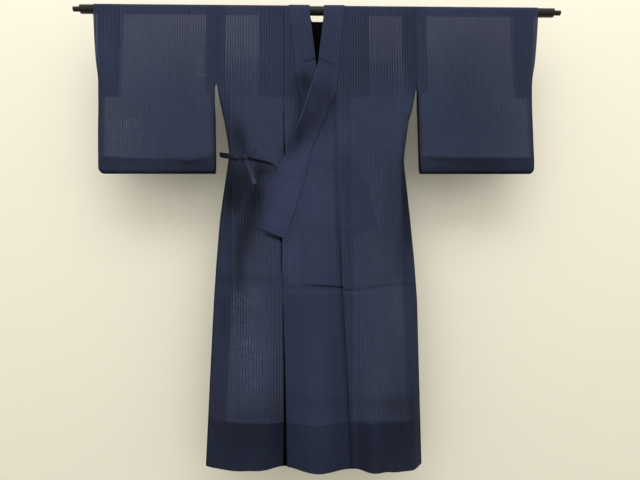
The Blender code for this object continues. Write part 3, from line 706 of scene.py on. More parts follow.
def striped_gauze():
    """Colour, cover and relief of a gauze with fine open stripes along its length."""
    group = bpy.data.node_groups.new("striped gauze", "ShaderNodeTree")
    for way, name, kind in GAUZE_SOCKETS:
        group.interface.new_socket(name=name, in_out=way, socket_type=f"NodeSocket{kind}")
    maths, ranged, noise = (partial(made, group) for made in (math_node, range_node, noise_node))
    plus, less, times_plus = (partial(maths, kind) for kind in ("ADD", "SUBTRACT", "MULTIPLY_ADD"))
    given = node(group, "NodeGroupInput").outputs
    weave = node(group, "ShaderNodeUVMap", uv_map="cloth").outputs[0]
    along = node(group, "ShaderNodeSeparateXYZ", {0: weave}).outputs
    marks = {
        mark: node(group, "ShaderNodeAttribute", attribute_name=mark).outputs["Fac"]
        for mark in CLOTH_MARKS
    }

    def times(*values):
        """The product of all these values."""
        return reduce(partial(maths, "MULTIPLY"), values)

    # stripes: the cloth wanders a little, so they are not ruler straight
    across = plus(along["X"], times_plus(noise(weave, 11.0), STRIPE_WANDER, -STRIPE_WANDER / 2))
    stripe = maths("DIVIDE", across, STRIPE_PITCH)
    within = maths("ABSOLUTE", less(maths("FRACT", stripe), 0.5))
    open_line = ranged(within, 0.24, 0.40)
    number = maths("FLOOR", stripe)

    def stripe_noise(spread, rate, scale=1.0, detail=0.0):
        """Noise that is each stripe's own, and changes along it at this rate."""
        place = node(group, "ShaderNodeCombineXYZ", {0: times(number, spread), 1: times(along["Y"], rate)})
        return noise(place.outputs[0], scale, detail)

    # each open line has its own strength, and breaks up into dashes in patches
    strength = stripe_noise(7.3, 1.0, 2.6, 2.0)
    dashes = ranged(stripe_noise(3.7, DASHES_PER_METRE), 0.46, 0.60)
    patch = ranged(noise(weave, 4.2, 1.0), 0.46, 0.60)
    lively = times_plus(times(dashes, patch), 0.24, times_plus(strength, 0.9, 0.22))
    opened = times(open_line, times_plus(dashes, 0.08, lively))

    # threads: warp and weft
    warp, weft = (maths("SINE", times(way, 2 * pi / THREAD_PITCH)) for way in (across, along["Y"]))
    threads = times_plus(plus(warp, weft), 0.25, 0.5)

    # cover of one ply, then of all the plies that lie on each other here; the painted shade also makes the
    # cloth less see-through
    shown = maths("MINIMUM", marks["clear"], 1.0)
    single = less(given["Cover"], times(opened, given["Openness"], shown))
    single = times_plus(threads, 0.03, less(single, 0.015), clamp=True)
    folded_over = ranged(marks["doubled"], -0.0005, 0.0005)
    plies = plus(plus(folded_over, marks["plies"]), 1.0)
    through = maths("POWER", less(1.0, single), plies)
    light = less(1.0, marks["shade"], clamp=True)
    cover = less(1.0, times(through, light), clamp=True)

    # colour: lighter on the ribs beside the open lines, a slow unevenness of the dye, painted
    # backlight that makes thin cloth lighter than doubled cloth, and painted shade from the shade mark
    rib = ranged(within, 0.10, 0.24)
    contrast = times(times_plus(strength, 0.40, 0.05), marks["clear"])
    tone = times_plus(less(rib, 0.66), contrast, 0.965)
    tone = times_plus(times(opened, strength, shown), 0.24, tone)
    # painted backlight: one ply is painted lighter and more plies darker, standing in for the light from
    # behind that comes through thin cloth
    thin = maths("POWER", 0.5, less(plies, 1.0))
    tone = times(tone, times_plus(thin, 0.60, 0.55))
    tone = times_plus(noise(weave, 38.0, 3.0), 0.18, less(tone, 0.09))
    edge = maths("ABSOLUTE", less(marks["doubled"], 0.0012))
    tone = less(tone, ranged(edge, 0.0, 0.0012, 0.10, 0.0))
    tone = times(tone, less(1.0, marks["shade"]))
    dyed = node(group, "ShaderNodeVectorMath", {0: given["Colour"], "Scale": tone}, operation="SCALE")

    # painted glints: bright colour added in small patches where two layers' open stripes cross, standing in
    # for the light seen through them
    glint = ranged(stripe_noise(5.9, GLINTS_PER_METRE), 0.50, 0.62)
    patch = ranged(noise(weave, 34.0, 1.0), 0.38, 0.60, 0.25, 1.0)
    glint = times(glint, patch, open_line, marks["painted_glint"])
    glints = node(group, "ShaderNodeVectorMath", {0: PAINTED_GLINT_COLOUR, "Scale": glint}, operation="SCALE")
    both = {0: dyed.outputs[0], 1: glints.outputs[0]}
    colour = node(group, "ShaderNodeVectorMath", both, operation="ADD").outputs[0]

    # relief: sunken open lines, the threads, and the step at a doubled edge
    relief = times_plus(threads, 0.25, times(open_line, shown, -0.6))
    relief = times_plus(folded_over, 0.8, relief)
    node(group, "NodeGroupOutput", {"Colour": colour, "Cover": cover, "Height": relief})
    return group


gauze_group = striped_gauze()


def gauze_finish(name, colour, cover, openness, roughness, sheen):
    """A cloth that is woven as striped gauze, with its own colour and cover."""
    material, tree, shader = bare_finish(name)
    woven = node(tree, "ShaderNodeGroup", node_tree=gauze_group)
    feed(tree, woven, {"Colour": (*colour, 1.0), "Cover": cover, "Openness": openness})
    raised = {"Height": woven.outputs["Height"], "Strength": 0.5, "Distance": 0.0003}
    bump = node(tree, "ShaderNodeBump", raised)
    feed(tree, shader, {"Base Color": woven.outputs["Colour"], "Alpha": woven.outputs["Cover"]})
    feed(tree, shader, {"Normal": bump.outputs[0], "Roughness": roughness, "Specular IOR Level": 0.05})
    feed(tree, shader, {"Sheen Weight": sheen, "Sheen Roughness": 0.4})
    return material


navy_gauze = gauze_finish("sheer navy gauze", (0.0263, 0.0343, 0.0672), 0.87, 0.125, 0.70, 0.01)


def overlap_seam(drop):
    """The overlap panel's seam to the body panel, measured from the neck's middle."""
    return np.maximum(read(OVERLAP_EDGES, 1, drop), POINT_X + POINT_WIDTH)


def sag(run, width, depth):
    """Half width of the neck's sag behind the rod, at this length from the top of the rod."""
    share = np.minimum(np.abs(run) / depth, 1.0)
    return width * np.sin(np.arccos(share)) ** SAG_SQUARENESS


def neck_middle(run):
    """The neck's middle at the rod, moving to the middle of the back where the collar ends there."""
    return NECK_X * (1 - np.clip(-run / BACK_SEAM_RUN, 0.0, 1.0))


def body_inner_edge(run, side):
    """Where a body panel ends: under the collar, at the overlap panel's seam, or at the back's middle."""
    drop = fallen(run)
    seam = overlap_seam(drop)
    beside_collar = read(COLLAR_ROWS, 1, drop) - TUCK * smooth((POINT_DROP + 0.01 - drop) / 0.04)
    front = NECK_X + side * np.where(drop < POINT_DROP, np.minimum(beside_collar, seam), seam)
    neck_width = COLLAR_ROWS[0][1] - TUCK
    back = neck_middle(run) + side * sag(run, neck_width, BACK_SEAM_RUN - TUCK)
    return np.where(run > 0, front, np.where(drop > 0, back, NECK_X + side * neck_width))


HEM_LINE = ((-0.302, -0.111, 0.072, 0.276), (1.199, 1.211, 1.205, 1.200))  # x, drop, in front
BACK_HEM_LOWER = 0.016
HEM_EDGE = 0.0015  # how softly the doubled cloth's tone starts
BODY_PAINTED_GLINTS = {
    # strength, x from and to, drop from and to
    -1: (
        (0.50, -0.262, -0.175, 0.835, 1.120),
        (0.34, -0.225, -0.150, 0.960, 1.230),
        (0.50, -0.218, -0.172, 0.842, 0.880),
    ),
    1: (),
}


def into_hem(x, run):
    """Signed distance into the hem."""
    return np.abs(run) - QUARTER - np.interp(x, *HEM_LINE) - BACK_HEM_LOWER * (run < 0)


def painted_glint_patches(patches, x, run):
    """How strongly the painted glints show in these patches of the front. They fade out across their edges.
    """
    drop, shown = fallen(run), 0.0
    for strength, left, right, top, bottom in patches:
        across = smooth((x - left) / 0.02) * smooth((right - x) / 0.03)
        shown = shown + strength * across * smooth((drop - top) / 0.02) * smooth((bottom - drop) / 0.12)
    return shown * (run > 0)


# Cloth turned in at the side: drops, and the x where it ends there
ALLOWANCE_DROPS = (0.0, 0.24, 0.265, 0.84, 1.21, HEM_DROP)
SIDE_ALLOWANCE = {
    -1: (ALLOWANCE_DROPS, (-0.279, -0.279, -0.262, -0.249, -0.265, -0.267)),
    1: (ALLOWANCE_DROPS, (0.256, 0.256, 0.250, 0.242, 0.253, 0.254)),
}
SHOULDER_FACING_END, SHOULDER_FACING_DROP = {-1: -0.176, 1: 0.152}, 0.267
CENTRE_ALLOWANCE = 0.020  # on each side of the back's centre seam


def body_doubled(x, run, side):
    """Signed distance into the parts of a body panel where the cloth lies double."""
    drop = fallen(run)
    seam = side * (x - np.interp(drop, *SIDE_ALLOWANCE[side]))
    shoulder = inside(side * (SHOULDER_FACING_END[side] - x), SHOULDER_FACING_DROP - drop)
    centre_back = inside(CENTRE_ALLOWANCE - np.abs(x), -run)
    return np.maximum.reduce([seam, into_hem(x, run), shoulder, centre_back])


# How clearly the stripes show: drops, and the clearness there
CLEARNESS_DROPS = (0.00, 0.28, 0.32, 0.82, 0.87, 1.21, 1.24)
BODY_CLEARNESS = {
    -1: (CLEARNESS_DROPS, (2.1, 2.0, 1.4, 1.4, 2.1, 2.0, 0.70)),
    1: (CLEARNESS_DROPS, (2.1, 1.9, 1.5, 1.5, 1.8, 1.7, 0.60)),
}
SHOULDER_PLIES, SHOULDER_PLIES_TOP = {-1: 0.30, 1: 0.27}, 0.12  # extra plies low in the shoulder facing
UNDER_FRONT_REACH = 0.100  # how far the under front reaches beneath the right body panel
LEFT_STOPS = ((-0.1080, 38), (-0.0950, 13))  # x, and strips up to it, with narrow ones in the pressed line
# painted shade along a closed edge, where the cloth turns away from the light
RIM_WIDTH, BODY_RIM_LOST = 0.0080, 0.55  # the dark rim of a closed edge
# painted shade at the overlap seam, painted light on the ridge beside it, and painted shade in the hem
SEAM_LOST, SEAM_RIDGE_LIT, HEM_LOST = 0.35, 0.10, 0.12


def body_panel(name, side):
    """Front and back in one length over the shoulder, sewn together down the side."""
    run = over_rod(spaced(0.0, HEM_DROP, CELL, CREASE_CELLS))[:, None]
    drop = fallen(run)
    closed = smooth((drop - ARMHOLE_DROP) / (SIDE_OPENING_END - ARMHOLE_DROP))
    outer = read(BODY_EDGES, 1 if side < 0 else 2, drop + GAP_RISE[side] * (1 - closed) * (run < 0))
    inner = body_inner_edge(run, side)
    stops = ((inner, 58),)
    if side < 0:
        stops = (*((np.full_like(outer, stop), strips) for stop, strips in LEFT_STOPS), (inner, 8))
    x, start = [outer - side * back_from_edge(SIDE_TURN, 12)], outer - side * SIDE_TURN
    for stop, strips in stops:
        share = np.linspace(0.0, 1.0, strips + 1)[1:]
        x.append(start * (1 - share) + stop * share)
        start = stop
    x = np.concatenate(x, axis=1)
    if side > 0:
        x = x[:, ::-1]
    run = np.broadcast_to(run, x.shape)
    drop = np.broadcast_to(drop, x.shape)
    turned = 1 - closed * (1 - rounded(np.abs(x - outer) / SIDE_TURN))
    depth, shade = body_surface(x, run, side > 0)
    seam_edge = around(x, inner, 0.004) * (run > 0) * (drop > POINT_DROP)
    place = hang(x, run, depth * turned, (MID_WALL + SEAM_STEP * seam_edge) * turned)

    # painted shade beside the overlap panel's seam (with painted light on the ridge beside it), in the hem
    # and along the side's rim
    from_seam = x - inner
    ridge = around(from_seam, 0.012, 0.010)
    beside_seam = SEAM_LOST * around(from_seam, 0.0, 0.003) - SEAM_RIDGE_LIT * ridge
    low_seam = smooth((drop - 0.45) / 0.25) * (run > 0) * (side > 0)
    hem = smooth(into_hem(x, run) / HEM_EDGE)
    rim = closed * around(x, outer, RIM_WIDTH)
    shade = shade + beside_seam * low_seam + HEM_LOST * hem + BODY_RIM_LOST * rim
    if side < 0:
        shade = shade + np.where(run > 0, beside_gap(x, drop), 0.0)

    doubled = body_doubled(x, run, side)
    in_facing = smooth((drop - SHOULDER_PLIES_TOP) / 0.09) * (drop < SHOULDER_FACING_DROP - 0.001)
    over_under = smooth((NECK_X + UNDER_FRONT_REACH - x) / 0.004) * (drop > POINT_DROP) * (run > 0)
    plies = SHOULDER_PLIES[side] * in_facing + over_under * (side > 0) + hem
    painted_glint = painted_glint_patches(BODY_PAINTED_GLINTS[side], x, run)
    dense = 0.6 * (doubled > 0) * smooth((drop - 0.28) / 0.05)
    clear = np.interp(drop, *BODY_CLEARNESS[side]) * (1 - dense)
    weave_x = x + STRIPE_PITCH / 2 * smooth(-run / 0.05)
    grid = cloth_grid(place, weave_x, run, doubled, plies, shade, painted_glint, clear)
    grid = turn_in(turn_in(grid, "first row"), "last row")
    return lay_cloth(name, grid, navy_gauze)


for side, name in ((-1, "left"), (1, "right")):
    panel = body_panel(f"gauze_body_{name}", side)
    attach(panel, "root")
    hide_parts(f"body_panel_{name}")


# Overlap panels: narrow lengths sewn to the front edge of each body panel, from a point beside the collar
# to the hem, so that the fronts cross. The top front's panel lies over the under front's.
OVERLAP_ALLOWANCE = 0.012  # turned in at the seam to the body panel
OVERLAP_PLIES, OVERLAP_HEM_PLIES = 0.40, 1.2  # extra plies, all over and in the hem
# painted shade along the seam to the body panel, and painted light in the hem
OVERLAP_SEAM_LOST, OVERLAP_HEM_LIT = 0.55, 0.04
OVERLAP_CLEARNESS = ((0.30, 0.82, 0.88, 1.22, 1.25), (1.3, 1.2, 0.40, 0.40, 0.30))


def overlap_panel(name, side):
    """A narrow panel between its seam to the body panel and the collar or its own front edge."""
    drop = spaced(POINT_DROP + 0.004, HEM_DROP, CELL, CREASE_CELLS)[::-1, None]
    beside_collar = read(COLLAR_ROWS, 1, drop) - TUCK
    share = smooth((drop - COLLAR_END_DROP + 0.012) / 0.024)
    edge = beside_collar * (1 - share) + read(OVERLAP_EDGES, 2, drop) * share
    seam = overlap_seam(drop) + TUCK
    across = np.linspace(0.0, 1.0, 50)[None, :]
    x = NECK_X + side * (edge * (1 - across) + seam * across)
    if side < 0:
        x = x[:, ::-1]
    drop = np.broadcast_to(drop, x.shape)
    run = QUARTER + drop
    depth, shade = front_surface(x, drop, side > 0)
    from_seam = side * (NECK_X + side * overlap_seam(drop) - x)
    tucked = smooth((0.002 - from_seam) / 0.004)
    place = hang(x, run, depth, MID_WALL - SEAM_STEP * tucked)
    low_seam = (0.35 + 0.65 * smooth((drop - 0.62) / 0.12)) * smooth((drop - 0.45) / 0.15) * (side > 0)
    shade = shade + OVERLAP_SEAM_LOST * around(from_seam, 0.001, 0.005) * low_seam
    if side < 0:
        shade = shade + beside_gap(x, drop)
    hem = smooth(into_hem(x, run) / HEM_EDGE)
    doubled = np.maximum(into_hem(x, run), OVERLAP_ALLOWANCE - from_seam)
    plies = OVERLAP_PLIES + OVERLAP_HEM_PLIES * hem
    clear = np.interp(drop, *OVERLAP_CLEARNESS)
    grid = cloth_grid(place, x, run, doubled, plies, shade - OVERLAP_HEM_LIT * hem, clear=clear)
    grid = turn_in(grid, "first row")
    grid = turn_in(grid, "first column" if side > 0 else "last column")
    return lay_cloth(name, grid, navy_gauze)


for side, name in ((-1, "under"), (1, "top")):
    panel = overlap_panel(f"gauze_overlap_{name}", side)
    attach(panel, "root")
    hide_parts(f"overlap_panel_{name}")


# Sleeves: one length of gauze each, folded over the rod, sewn along the bottom and up to the cuff opening.
# The inner edge hangs free below the armhole. Cuffs and sleeve bottoms are doubled.
SLEEVE_DROP, SLEEVE_DEPTH, SLEEVE_TURN, SLEEVE_EASE = 0.500, 0.0085, 0.020, 0.08
CUFF_OPENING_END, CUFF_CLOSING = 0.212, 0.055
SLEEVE_EDGES = (
    # drop, left outer, right outer, left inner, right inner
    (0.000, -0.6680, 0.6690, LEFT_ARMHOLE, RIGHT_ARMHOLE),
    (0.100, -0.6615, 0.6605, LEFT_ARMHOLE, RIGHT_ARMHOLE),
    (ARMHOLE_DROP, -0.6515, 0.6470, LEFT_ARMHOLE, RIGHT_ARMHOLE),
    (0.242, -0.6512, 0.6464, -0.3048, 0.296),
    (0.290, -0.6492, 0.6448, -0.3054, 0.296),
    (0.372, -0.6480, 0.6448, -0.3034, 0.297),
    (0.460, -0.6450, 0.6452, -0.3014, 0.298),
    (0.486, -0.6435, 0.6440, -0.3010, 0.298),
    (0.496, -0.6370, 0.6385, -0.3010, 0.299),
    (SLEEVE_DROP, -0.6280, 0.6300, -0.3010, 0.299),
)
SLEEVE_CREASES = {
    # path of (x, drop, strength), half width, rise, lost light painted as shade
    -1: (
        (((-0.47, 0.452, 0.4), (-0.38, 0.47, 1.0), (-0.31, 0.45, 0.9)), 0.018, -0.002, 0.3),
        (((-0.62, 0.47, 0.5), (-0.48, 0.478, 0.8)), 0.016, -0.0014, 0.12),
        (((-0.56, 0.08, 0.3), (-0.52, 0.24, 0.8), (-0.54, 0.42, 0.3)), 0.05, 0.0022, -0.03),
        (((-0.4, 0.06, 0.3), (-0.42, 0.26, 0.8), (-0.395, 0.4, 0.3)), 0.055, -0.0016, 0.05),
        (((-0.649, 0.205, 0.9), (-0.632, 0.208, 0.2)), 0.006, -0.001, 0.25),
        (((-0.646, 0.418, 0.9), (-0.628, 0.42, 0.2)), 0.006, -0.001, 0.25),
        (((-0.34, 0.1, 0.5), (-0.335, 0.23, 0.9), (-0.33, 0.33, 0.3)), 0.018, -0.0014, 0.08),
    ),
    1: (
        (((0.33, 0.455, 0.9), (0.42, 0.468, 0.8), (0.54, 0.472, 0.6)), 0.018, -0.0018, 0.24),
        (((0.35, 0.457, 0.3), (0.48, 0.4575, 0.8), (0.614, 0.4575, 1.0)), 0.005, 0.0, 0.18),
        (((0.612, 0.279, 1.0), (0.627, 0.282, 0.7)), 0.006, -0.001, 0.28),
        (((0.54, 0.07, 0.3), (0.5, 0.23, 0.8), (0.52, 0.41, 0.3)), 0.05, 0.002, -0.03),
        (((0.4, 0.08, 0.3), (0.425, 0.25, 0.8), (0.4, 0.39, 0.3)), 0.055, -0.0016, 0.05),
        (((0.335, 0.12, 0.5), (0.328, 0.26, 0.9)), 0.018, -0.0012, 0.08),
    ),
}
SLEEVE_PAINTED_SHADE = {
    # x, drop, half width, half length, lost light painted as shade
    -1: (
        (-0.520, 0.170, 0.150, 0.180, -0.06),
        (-0.628, 0.130, 0.050, 0.150, -0.20),
        (-0.560, 0.400, 0.110, 0.110, -0.06),
        (-0.350, 0.485, 0.150, 0.050, 0.30),
        (-0.560, 0.480, 0.130, 0.045, -0.12),
    ),
    1: (
        (0.480, 0.330, 0.240, 0.260, 0.17),
        (0.500, 0.120, 0.260, 0.200, 0.14),
        (0.480, 0.485, 0.240, 0.050, 0.30),
    ),
}
SLEEVE_PAINTED_GLINTS = {
    # strength, x from and to, drop from and to
    -1: ((0.5, -0.375, -0.310, 0.120, 0.320), (0.5, -0.610, -0.500, 0.320, 0.460)),
    1: (),
}
# Where the doubled cloth of the sleeve's bottom starts: x, drop
SLEEVE_BAND_TOP = {
    -1: ((-0.64, -0.60, -0.50, -0.38, -0.33, -0.30), (0.4510, 0.4515, 0.4555, 0.4610, 0.4590, 0.4500)),
    1: ((0.30, 0.40, 0.50, 0.62), (0.4500, 0.4515, 0.4525, 0.4525)),
}
CUFF_SEAM_WIDTH = {-1: 0.016, 1: 0.011}  # cloth turned in beside the outer seam
CUFF_FACING_START, CUFF_FACING_DROP = {-1: 0.588, 1: 0.593}, 0.268
ARMHOLE_ALLOWANCE, ARMHOLE_ALLOWANCE_DROP, FREE_EDGE_HEM = 0.032, 0.252, 0.012
ARMHOLE_TUCK = 0.004  # how far the sleeve runs on under the body at the armhole
# painted shade along the closed rims and at the armhole
SLEEVE_RIM_LOST, ARMHOLE_LOST = 0.95, 0.22  # light lost along the closed rims and at the armhole
# How far the back's free edge ends short of the front's: drops, and the distance there
BACK_EDGE_SHORT = {-1: ((0.27, 0.33), (0.0042, 0.0022)), 1: ((0.27, 0.33), (0.0020, 0.0022))}
# painted shade: a dark line along the sleeve's free edge, from this drop down
FREE_EDGE_LINE = {-1: (0.29, 0.75), 1: (0.235, 0.95)}  # drop where the free edge turns dark, lost light
SLEEVE_CLEARNESS = {
    -1: ((0.0, 0.44, 0.46, 0.5), (1.90, 1.25, 0.45, 0.45)),
    1: ((0.0, 0.28, 0.32, 0.5), (1.40, 1.20, 0.38, 0.22)),
}


def sleeve(name, side):
    """A length of cloth from the sleeve's bottom in front, over the rod, to its bottom behind."""
    flat_drops = spaced(0.0, SLEEVE_DROP - SLEEVE_TURN, CELL)
    bottom_turn = SLEEVE_DROP - back_from_edge(SLEEVE_TURN, 9)[:-1]
    run = over_rod(np.concatenate([flat_drops, bottom_turn]))[:, None]
    drop = fallen(run)
    drops, *edges = np.array(SLEEVE_EDGES).T
    outer = np.interp(drop, drops, edges[0 if side < 0 else 1])
    opening_drop = drop + GAP_RISE[side] * (run < 0)
    inner = read(SLEEVE_EDGES, 3 if side < 0 else 4, opening_drop)
    hangs_free = smooth((opening_drop - ARMHOLE_DROP) / 0.008)
    shortened = np.interp(drop, *BACK_EDGE_SHORT[side]) * hangs_free * (run < 0)
    inner = inner - side * ARMHOLE_TUCK * (1 - hangs_free) + side * shortened
    turn = outer - side * back_from_edge(SLEEVE_TURN, 10)
    share = np.concatenate([np.linspace(0.0, 1.0, 85)[1:-1], (0.994, 1.0)])
    x = np.concatenate([turn, (outer - side * SLEEVE_TURN) * (1 - share) + inner * share], axis=1)
    if side > 0:
        x = x[:, ::-1]
    run = np.broadcast_to(run, x.shape)
    drop = np.broadcast_to(drop, x.shape)
    closed = smooth((drop - CUFF_OPENING_END + CUFF_CLOSING) / CUFF_CLOSING)
    turned = 1 - closed * (1 - rounded(np.abs(x - outer) / SLEEVE_TURN))
    bottom = rounded((SLEEVE_DROP - drop) / SLEEVE_TURN)
    own = smooth(np.abs(x - inner) / SLEEVE_EASE)
    height, shade = creased(SLEEVE_CREASES[side], x, drop)
    shade = shade + painted_patch_shade(SLEEVE_PAINTED_SHADE[side], x, drop)
    height = np.where(run < 0, -0.6 * height, height)
    depth = settled(drop, COAT_DEPTH + (SLEEVE_DEPTH - COAT_DEPTH) * own) + height + ripple(x, run)
    under_body = smooth(1 - (np.abs(x - inner) - 0.002) / 0.004) * (1 - hangs_free)
    place = hang(x, run, depth * turned * bottom, (MID_WALL - SEAM_STEP * under_body) * turned * bottom)

    # cloth that lies double: the cuff's facing, the bottom, and along the armhole, free edge and outer seam
    armhole = LEFT_ARMHOLE if side < 0 else RIGHT_ARMHOLE
    cuff = inside(side * x - CUFF_FACING_START[side], CUFF_FACING_DROP - drop)
    low = drop - np.interp(x, *SLEEVE_BAND_TOP[side])
    seam = inside(side * (armhole - x) + ARMHOLE_ALLOWANCE, ARMHOLE_ALLOWANCE_DROP - drop)
    free_edge = inside(FREE_EDGE_HEM - np.abs(x - inner), drop - ARMHOLE_DROP)
    outer_seam = inside(CUFF_SEAM_WIDTH[side] - np.abs(x - outer), drop - CUFF_OPENING_END)
    doubled = np.maximum.reduce([cuff, low, seam, free_edge, outer_seam])

    # painted shade at the armhole, along the free edge and along the closed rims
    shade = shade + ARMHOLE_LOST * around(x, armhole, 0.004) * (1 - hangs_free)
    line_top, line_lost = FREE_EDGE_LINE[side]
    on_edge = smooth((0.0036 - np.abs(x - inner)) / 0.0012)
    shade = shade + line_lost * on_edge * smooth((drop - line_top) / 0.03)
    rim = np.maximum(closed * around(x, outer, RIM_WIDTH), around(drop, SLEEVE_DROP, RIM_WIDTH))
    shade = shade + SLEEVE_RIM_LOST * rim

    plies = smooth(low / HEM_EDGE)
    painted_glint = painted_glint_patches(SLEEVE_PAINTED_GLINTS[side], x, run)
    clear = np.interp(drop, *SLEEVE_CLEARNESS[side])
    grid = cloth_grid(place, x, run, doubled, plies, shade, painted_glint, clear)
    grid = turn_in(grid, "last column" if side < 0 else "first column")
    return lay_cloth(name, grid, navy_gauze)


for side, name in ((-1, "left"), (1, "right")):
    panel = sleeve(f"gauze_sleeve_{name}", side)
    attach(panel, "root")
    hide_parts(f"sleeve_{name}")


# Collar: one long band of the same cloth, folded several layers thick, so that it lets no light through.
# It runs up the top front, round the back of the neck and down the under front. Inside the back neck its
# inner face is painted near-black.
COLLAR_INNER, COLLAR_OUTER = 0.0010, 0.0027  # its faces' distance from the fronts' inner face
COLLAR_STRIPS = 24
COLLAR_CLEARNESS = ((0.0, 0.25, 0.45, 0.8), (0.8, 0.75, 0.95, 0.85))
FREE_SQUARENESS = (0.7, 0.18)  # how square the free edge turns behind the neck
# painted shade along the sewn edge, and near-black paint inside the back neck
COLLAR_SEAM_LOST, NECK_BLACK_LOST = 0.08, 0.985
# painted highlights along the free edges
COLLAR_LIT, COLLAR_MOST_LIT, UNDER_COLLAR_LIT = 0.20, 1.4, 0.10  # light that the free edges catch
COLLAR_CREASES = (
    (((-0.06, 0.44, 0.4), (-0.088, 0.5, 0.9), (-0.105, 0.57, 1.0), (-0.13, 0.64, 1.0)), 0.07, 0.0, -0.24),
    (((-0.046, 0.166, 0.7), (-0.02, 0.16, 1.0), (-0.004, 0.153, 1.0)), 0.0055, -0.0012, 0.45),
    (((-0.048, 0.176, 0.5), (-0.006, 0.164, 0.8)), 0.005, 0.0008, -0.14),
    (((0.002, 0.157, 1.0), (0.026, 0.166, 1.0), (0.055, 0.178, 0.7)), 0.005, -0.0011, 0.38),
    (((0.004, 0.168, 0.8), (0.05, 0.188, 0.6)), 0.0045, -0.0006, 0.22),
    (((-0.098, 0.468, 0.5), (-0.14, 0.5, 0.9)), 0.01, 0.001, -0.12),
    (((-0.112, 0.505, 0.8), (-0.15, 0.52, 0.8)), 0.008, -0.0012, 0.22),
)


def through_rows(rows, steps, ease):
    """The columns of a table at these steps along its rows, eased over the table's corners."""
    numbers = np.arange(len(rows))
    return (
        np.mean([np.interp(steps + away, numbers, column) for away in (-ease, 0, ease)], axis=0)
        for column in np.array(rows).T
    )


def length_along(points):
    """The length along a line through these points, from its start."""
    return np.concatenate([[0.0], np.cumsum(np.linalg.norm(np.diff(points, axis=0), axis=1))])


def collar_path(side):
    """Free and sewn edges of half the collar, as (x, run), from its lower end to the middle of the back."""
    steps = np.linspace(0, len(COLLAR_ROWS) - 1, 200)
    sewn_drop, sewn_x, free_drop, free_x = through_rows(COLLAR_ROWS[::-1], steps, 0.25)
    front = np.stack([side * free_x, QUARTER + free_drop, side * sewn_x, QUARTER + sewn_drop], axis=1)
    front[:, 0] += NECK_X
    front[:, 2] += NECK_X
    arc = np.linspace(QUARTER, 0.0, 9)[1:-1]
    turn = np.linspace(0.0, pi / 2, 90)
    run = np.concatenate([arc, -BACK_SEAM_RUN * np.sin(turn)])
    free_run = np.concatenate([arc, -BACK_FREE_RUN * np.sin(turn) ** FREE_SQUARENESS[0]])
    free_x = COLLAR_ROWS[0][3] * np.concatenate([np.ones_like(arc), np.cos(turn) ** FREE_SQUARENESS[1]])
    sewn_x = COLLAR_ROWS[0][1] * np.concatenate([np.ones_like(arc), np.cos(turn) ** SAG_SQUARENESS])
    middle = neck_middle(run)
    back = np.stack([middle + side * free_x, free_run, middle + side * sewn_x, run], axis=1)
    return np.concatenate([front, back])


def collar_band(name, material):
    """A closed flat band with rounded edges."""
    top, under = collar_path(1), collar_path(-1)[::-1][1:]
    path = np.concatenate([top, under])
    on_top = np.concatenate([np.ones(len(top), bool), np.zeros(len(under), bool)])[:, None]
    share = (1 - np.cos(np.linspace(0.0, pi, COLLAR_STRIPS + 1))) / 2
    free_x, free_run, sewn_x, sewn_run = (path[:, column, None] for column in range(4))
    width = np.hypot(sewn_x - free_x, sewn_run - free_run)
    length = length_along(path[:, 2:4])[:, None]
    length = np.minimum(length, length[-1] - length)
    clear = np.interp(length, *COLLAR_CLEARNESS)
    x = free_x + (sewn_x - free_x) * share
    run = free_run + (sewn_run - free_run) * share
    drop = fallen(run)
    of_top, of_under = body_surface(x, run, True), body_surface(x, run, False)
    depth, shade = (np.where(on_top, *pair) for pair in zip(of_top, of_under))
    own_height, own_shade = (np.where(run > 0, own, 0.0) for own in creased(COLLAR_CREASES, x, drop))
    shade = shade + own_shade
    from_free, from_sewn = share * width, (1 - share) * width
    middle, half = (COLLAR_OUTER + COLLAR_INNER) / 2, (COLLAR_OUTER - COLLAR_INNER) / 2
    half = half * rounded(from_free / 0.0022) * rounded(from_sewn / 0.0030 + 0.05)

    # the outer face has its own creases, painted shade along the sewn edge and a painted highlight on the
    # free edge, and the inner face is painted near-black behind the neck
    along = smooth((drop - 0.16) / 0.05) * smooth((0.42 - drop) / 0.10)
    lit = np.where(on_top, COLLAR_LIT + COLLAR_MOST_LIT * along, UNDER_COLLAR_LIT)
    lit = lit * smooth((0.46 - drop) / 0.10) * around(from_free, 0.0, 0.0028)
    edges = COLLAR_SEAM_LOST * around(from_sewn, 0.0, 0.003) - lit
    black = NECK_BLACK_LOST * smooth((-run - 0.004) / 0.008)
    raised = own_height * rounded(from_free / 0.004)
    outer, inner = (
        cloth_grid(hang(x, run, depth, lift), from_free, length, shade=shade + lost, clear=clear)
        for lift, lost in ((middle + half + raised, edges), (middle - half, black))
    )
    ring = np.concatenate([outer, inner[:, -2:0:-1], outer[:, :1]], axis=1)
    return lay_cloth(name, ring, material)


collar_cloth = gauze_finish("navy gauze, folded", (0.0220, 0.0282, 0.0576), 0.995, 0.004, 0.70, 0.01)
collar = collar_band("collar_band", collar_cloth)
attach(collar, "root")
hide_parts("collar")


# Neck facing: a near-black sheet just inside the back neck, under the collar's lower edge.
# It is what shows dark in the neck's opening, and lies flat against the inside of the back.
FACING_HALF_WIDTH, FACING_TOP, FACING_END, FACING_LIFT = 0.062, 0.070, 0.190, 0.0022


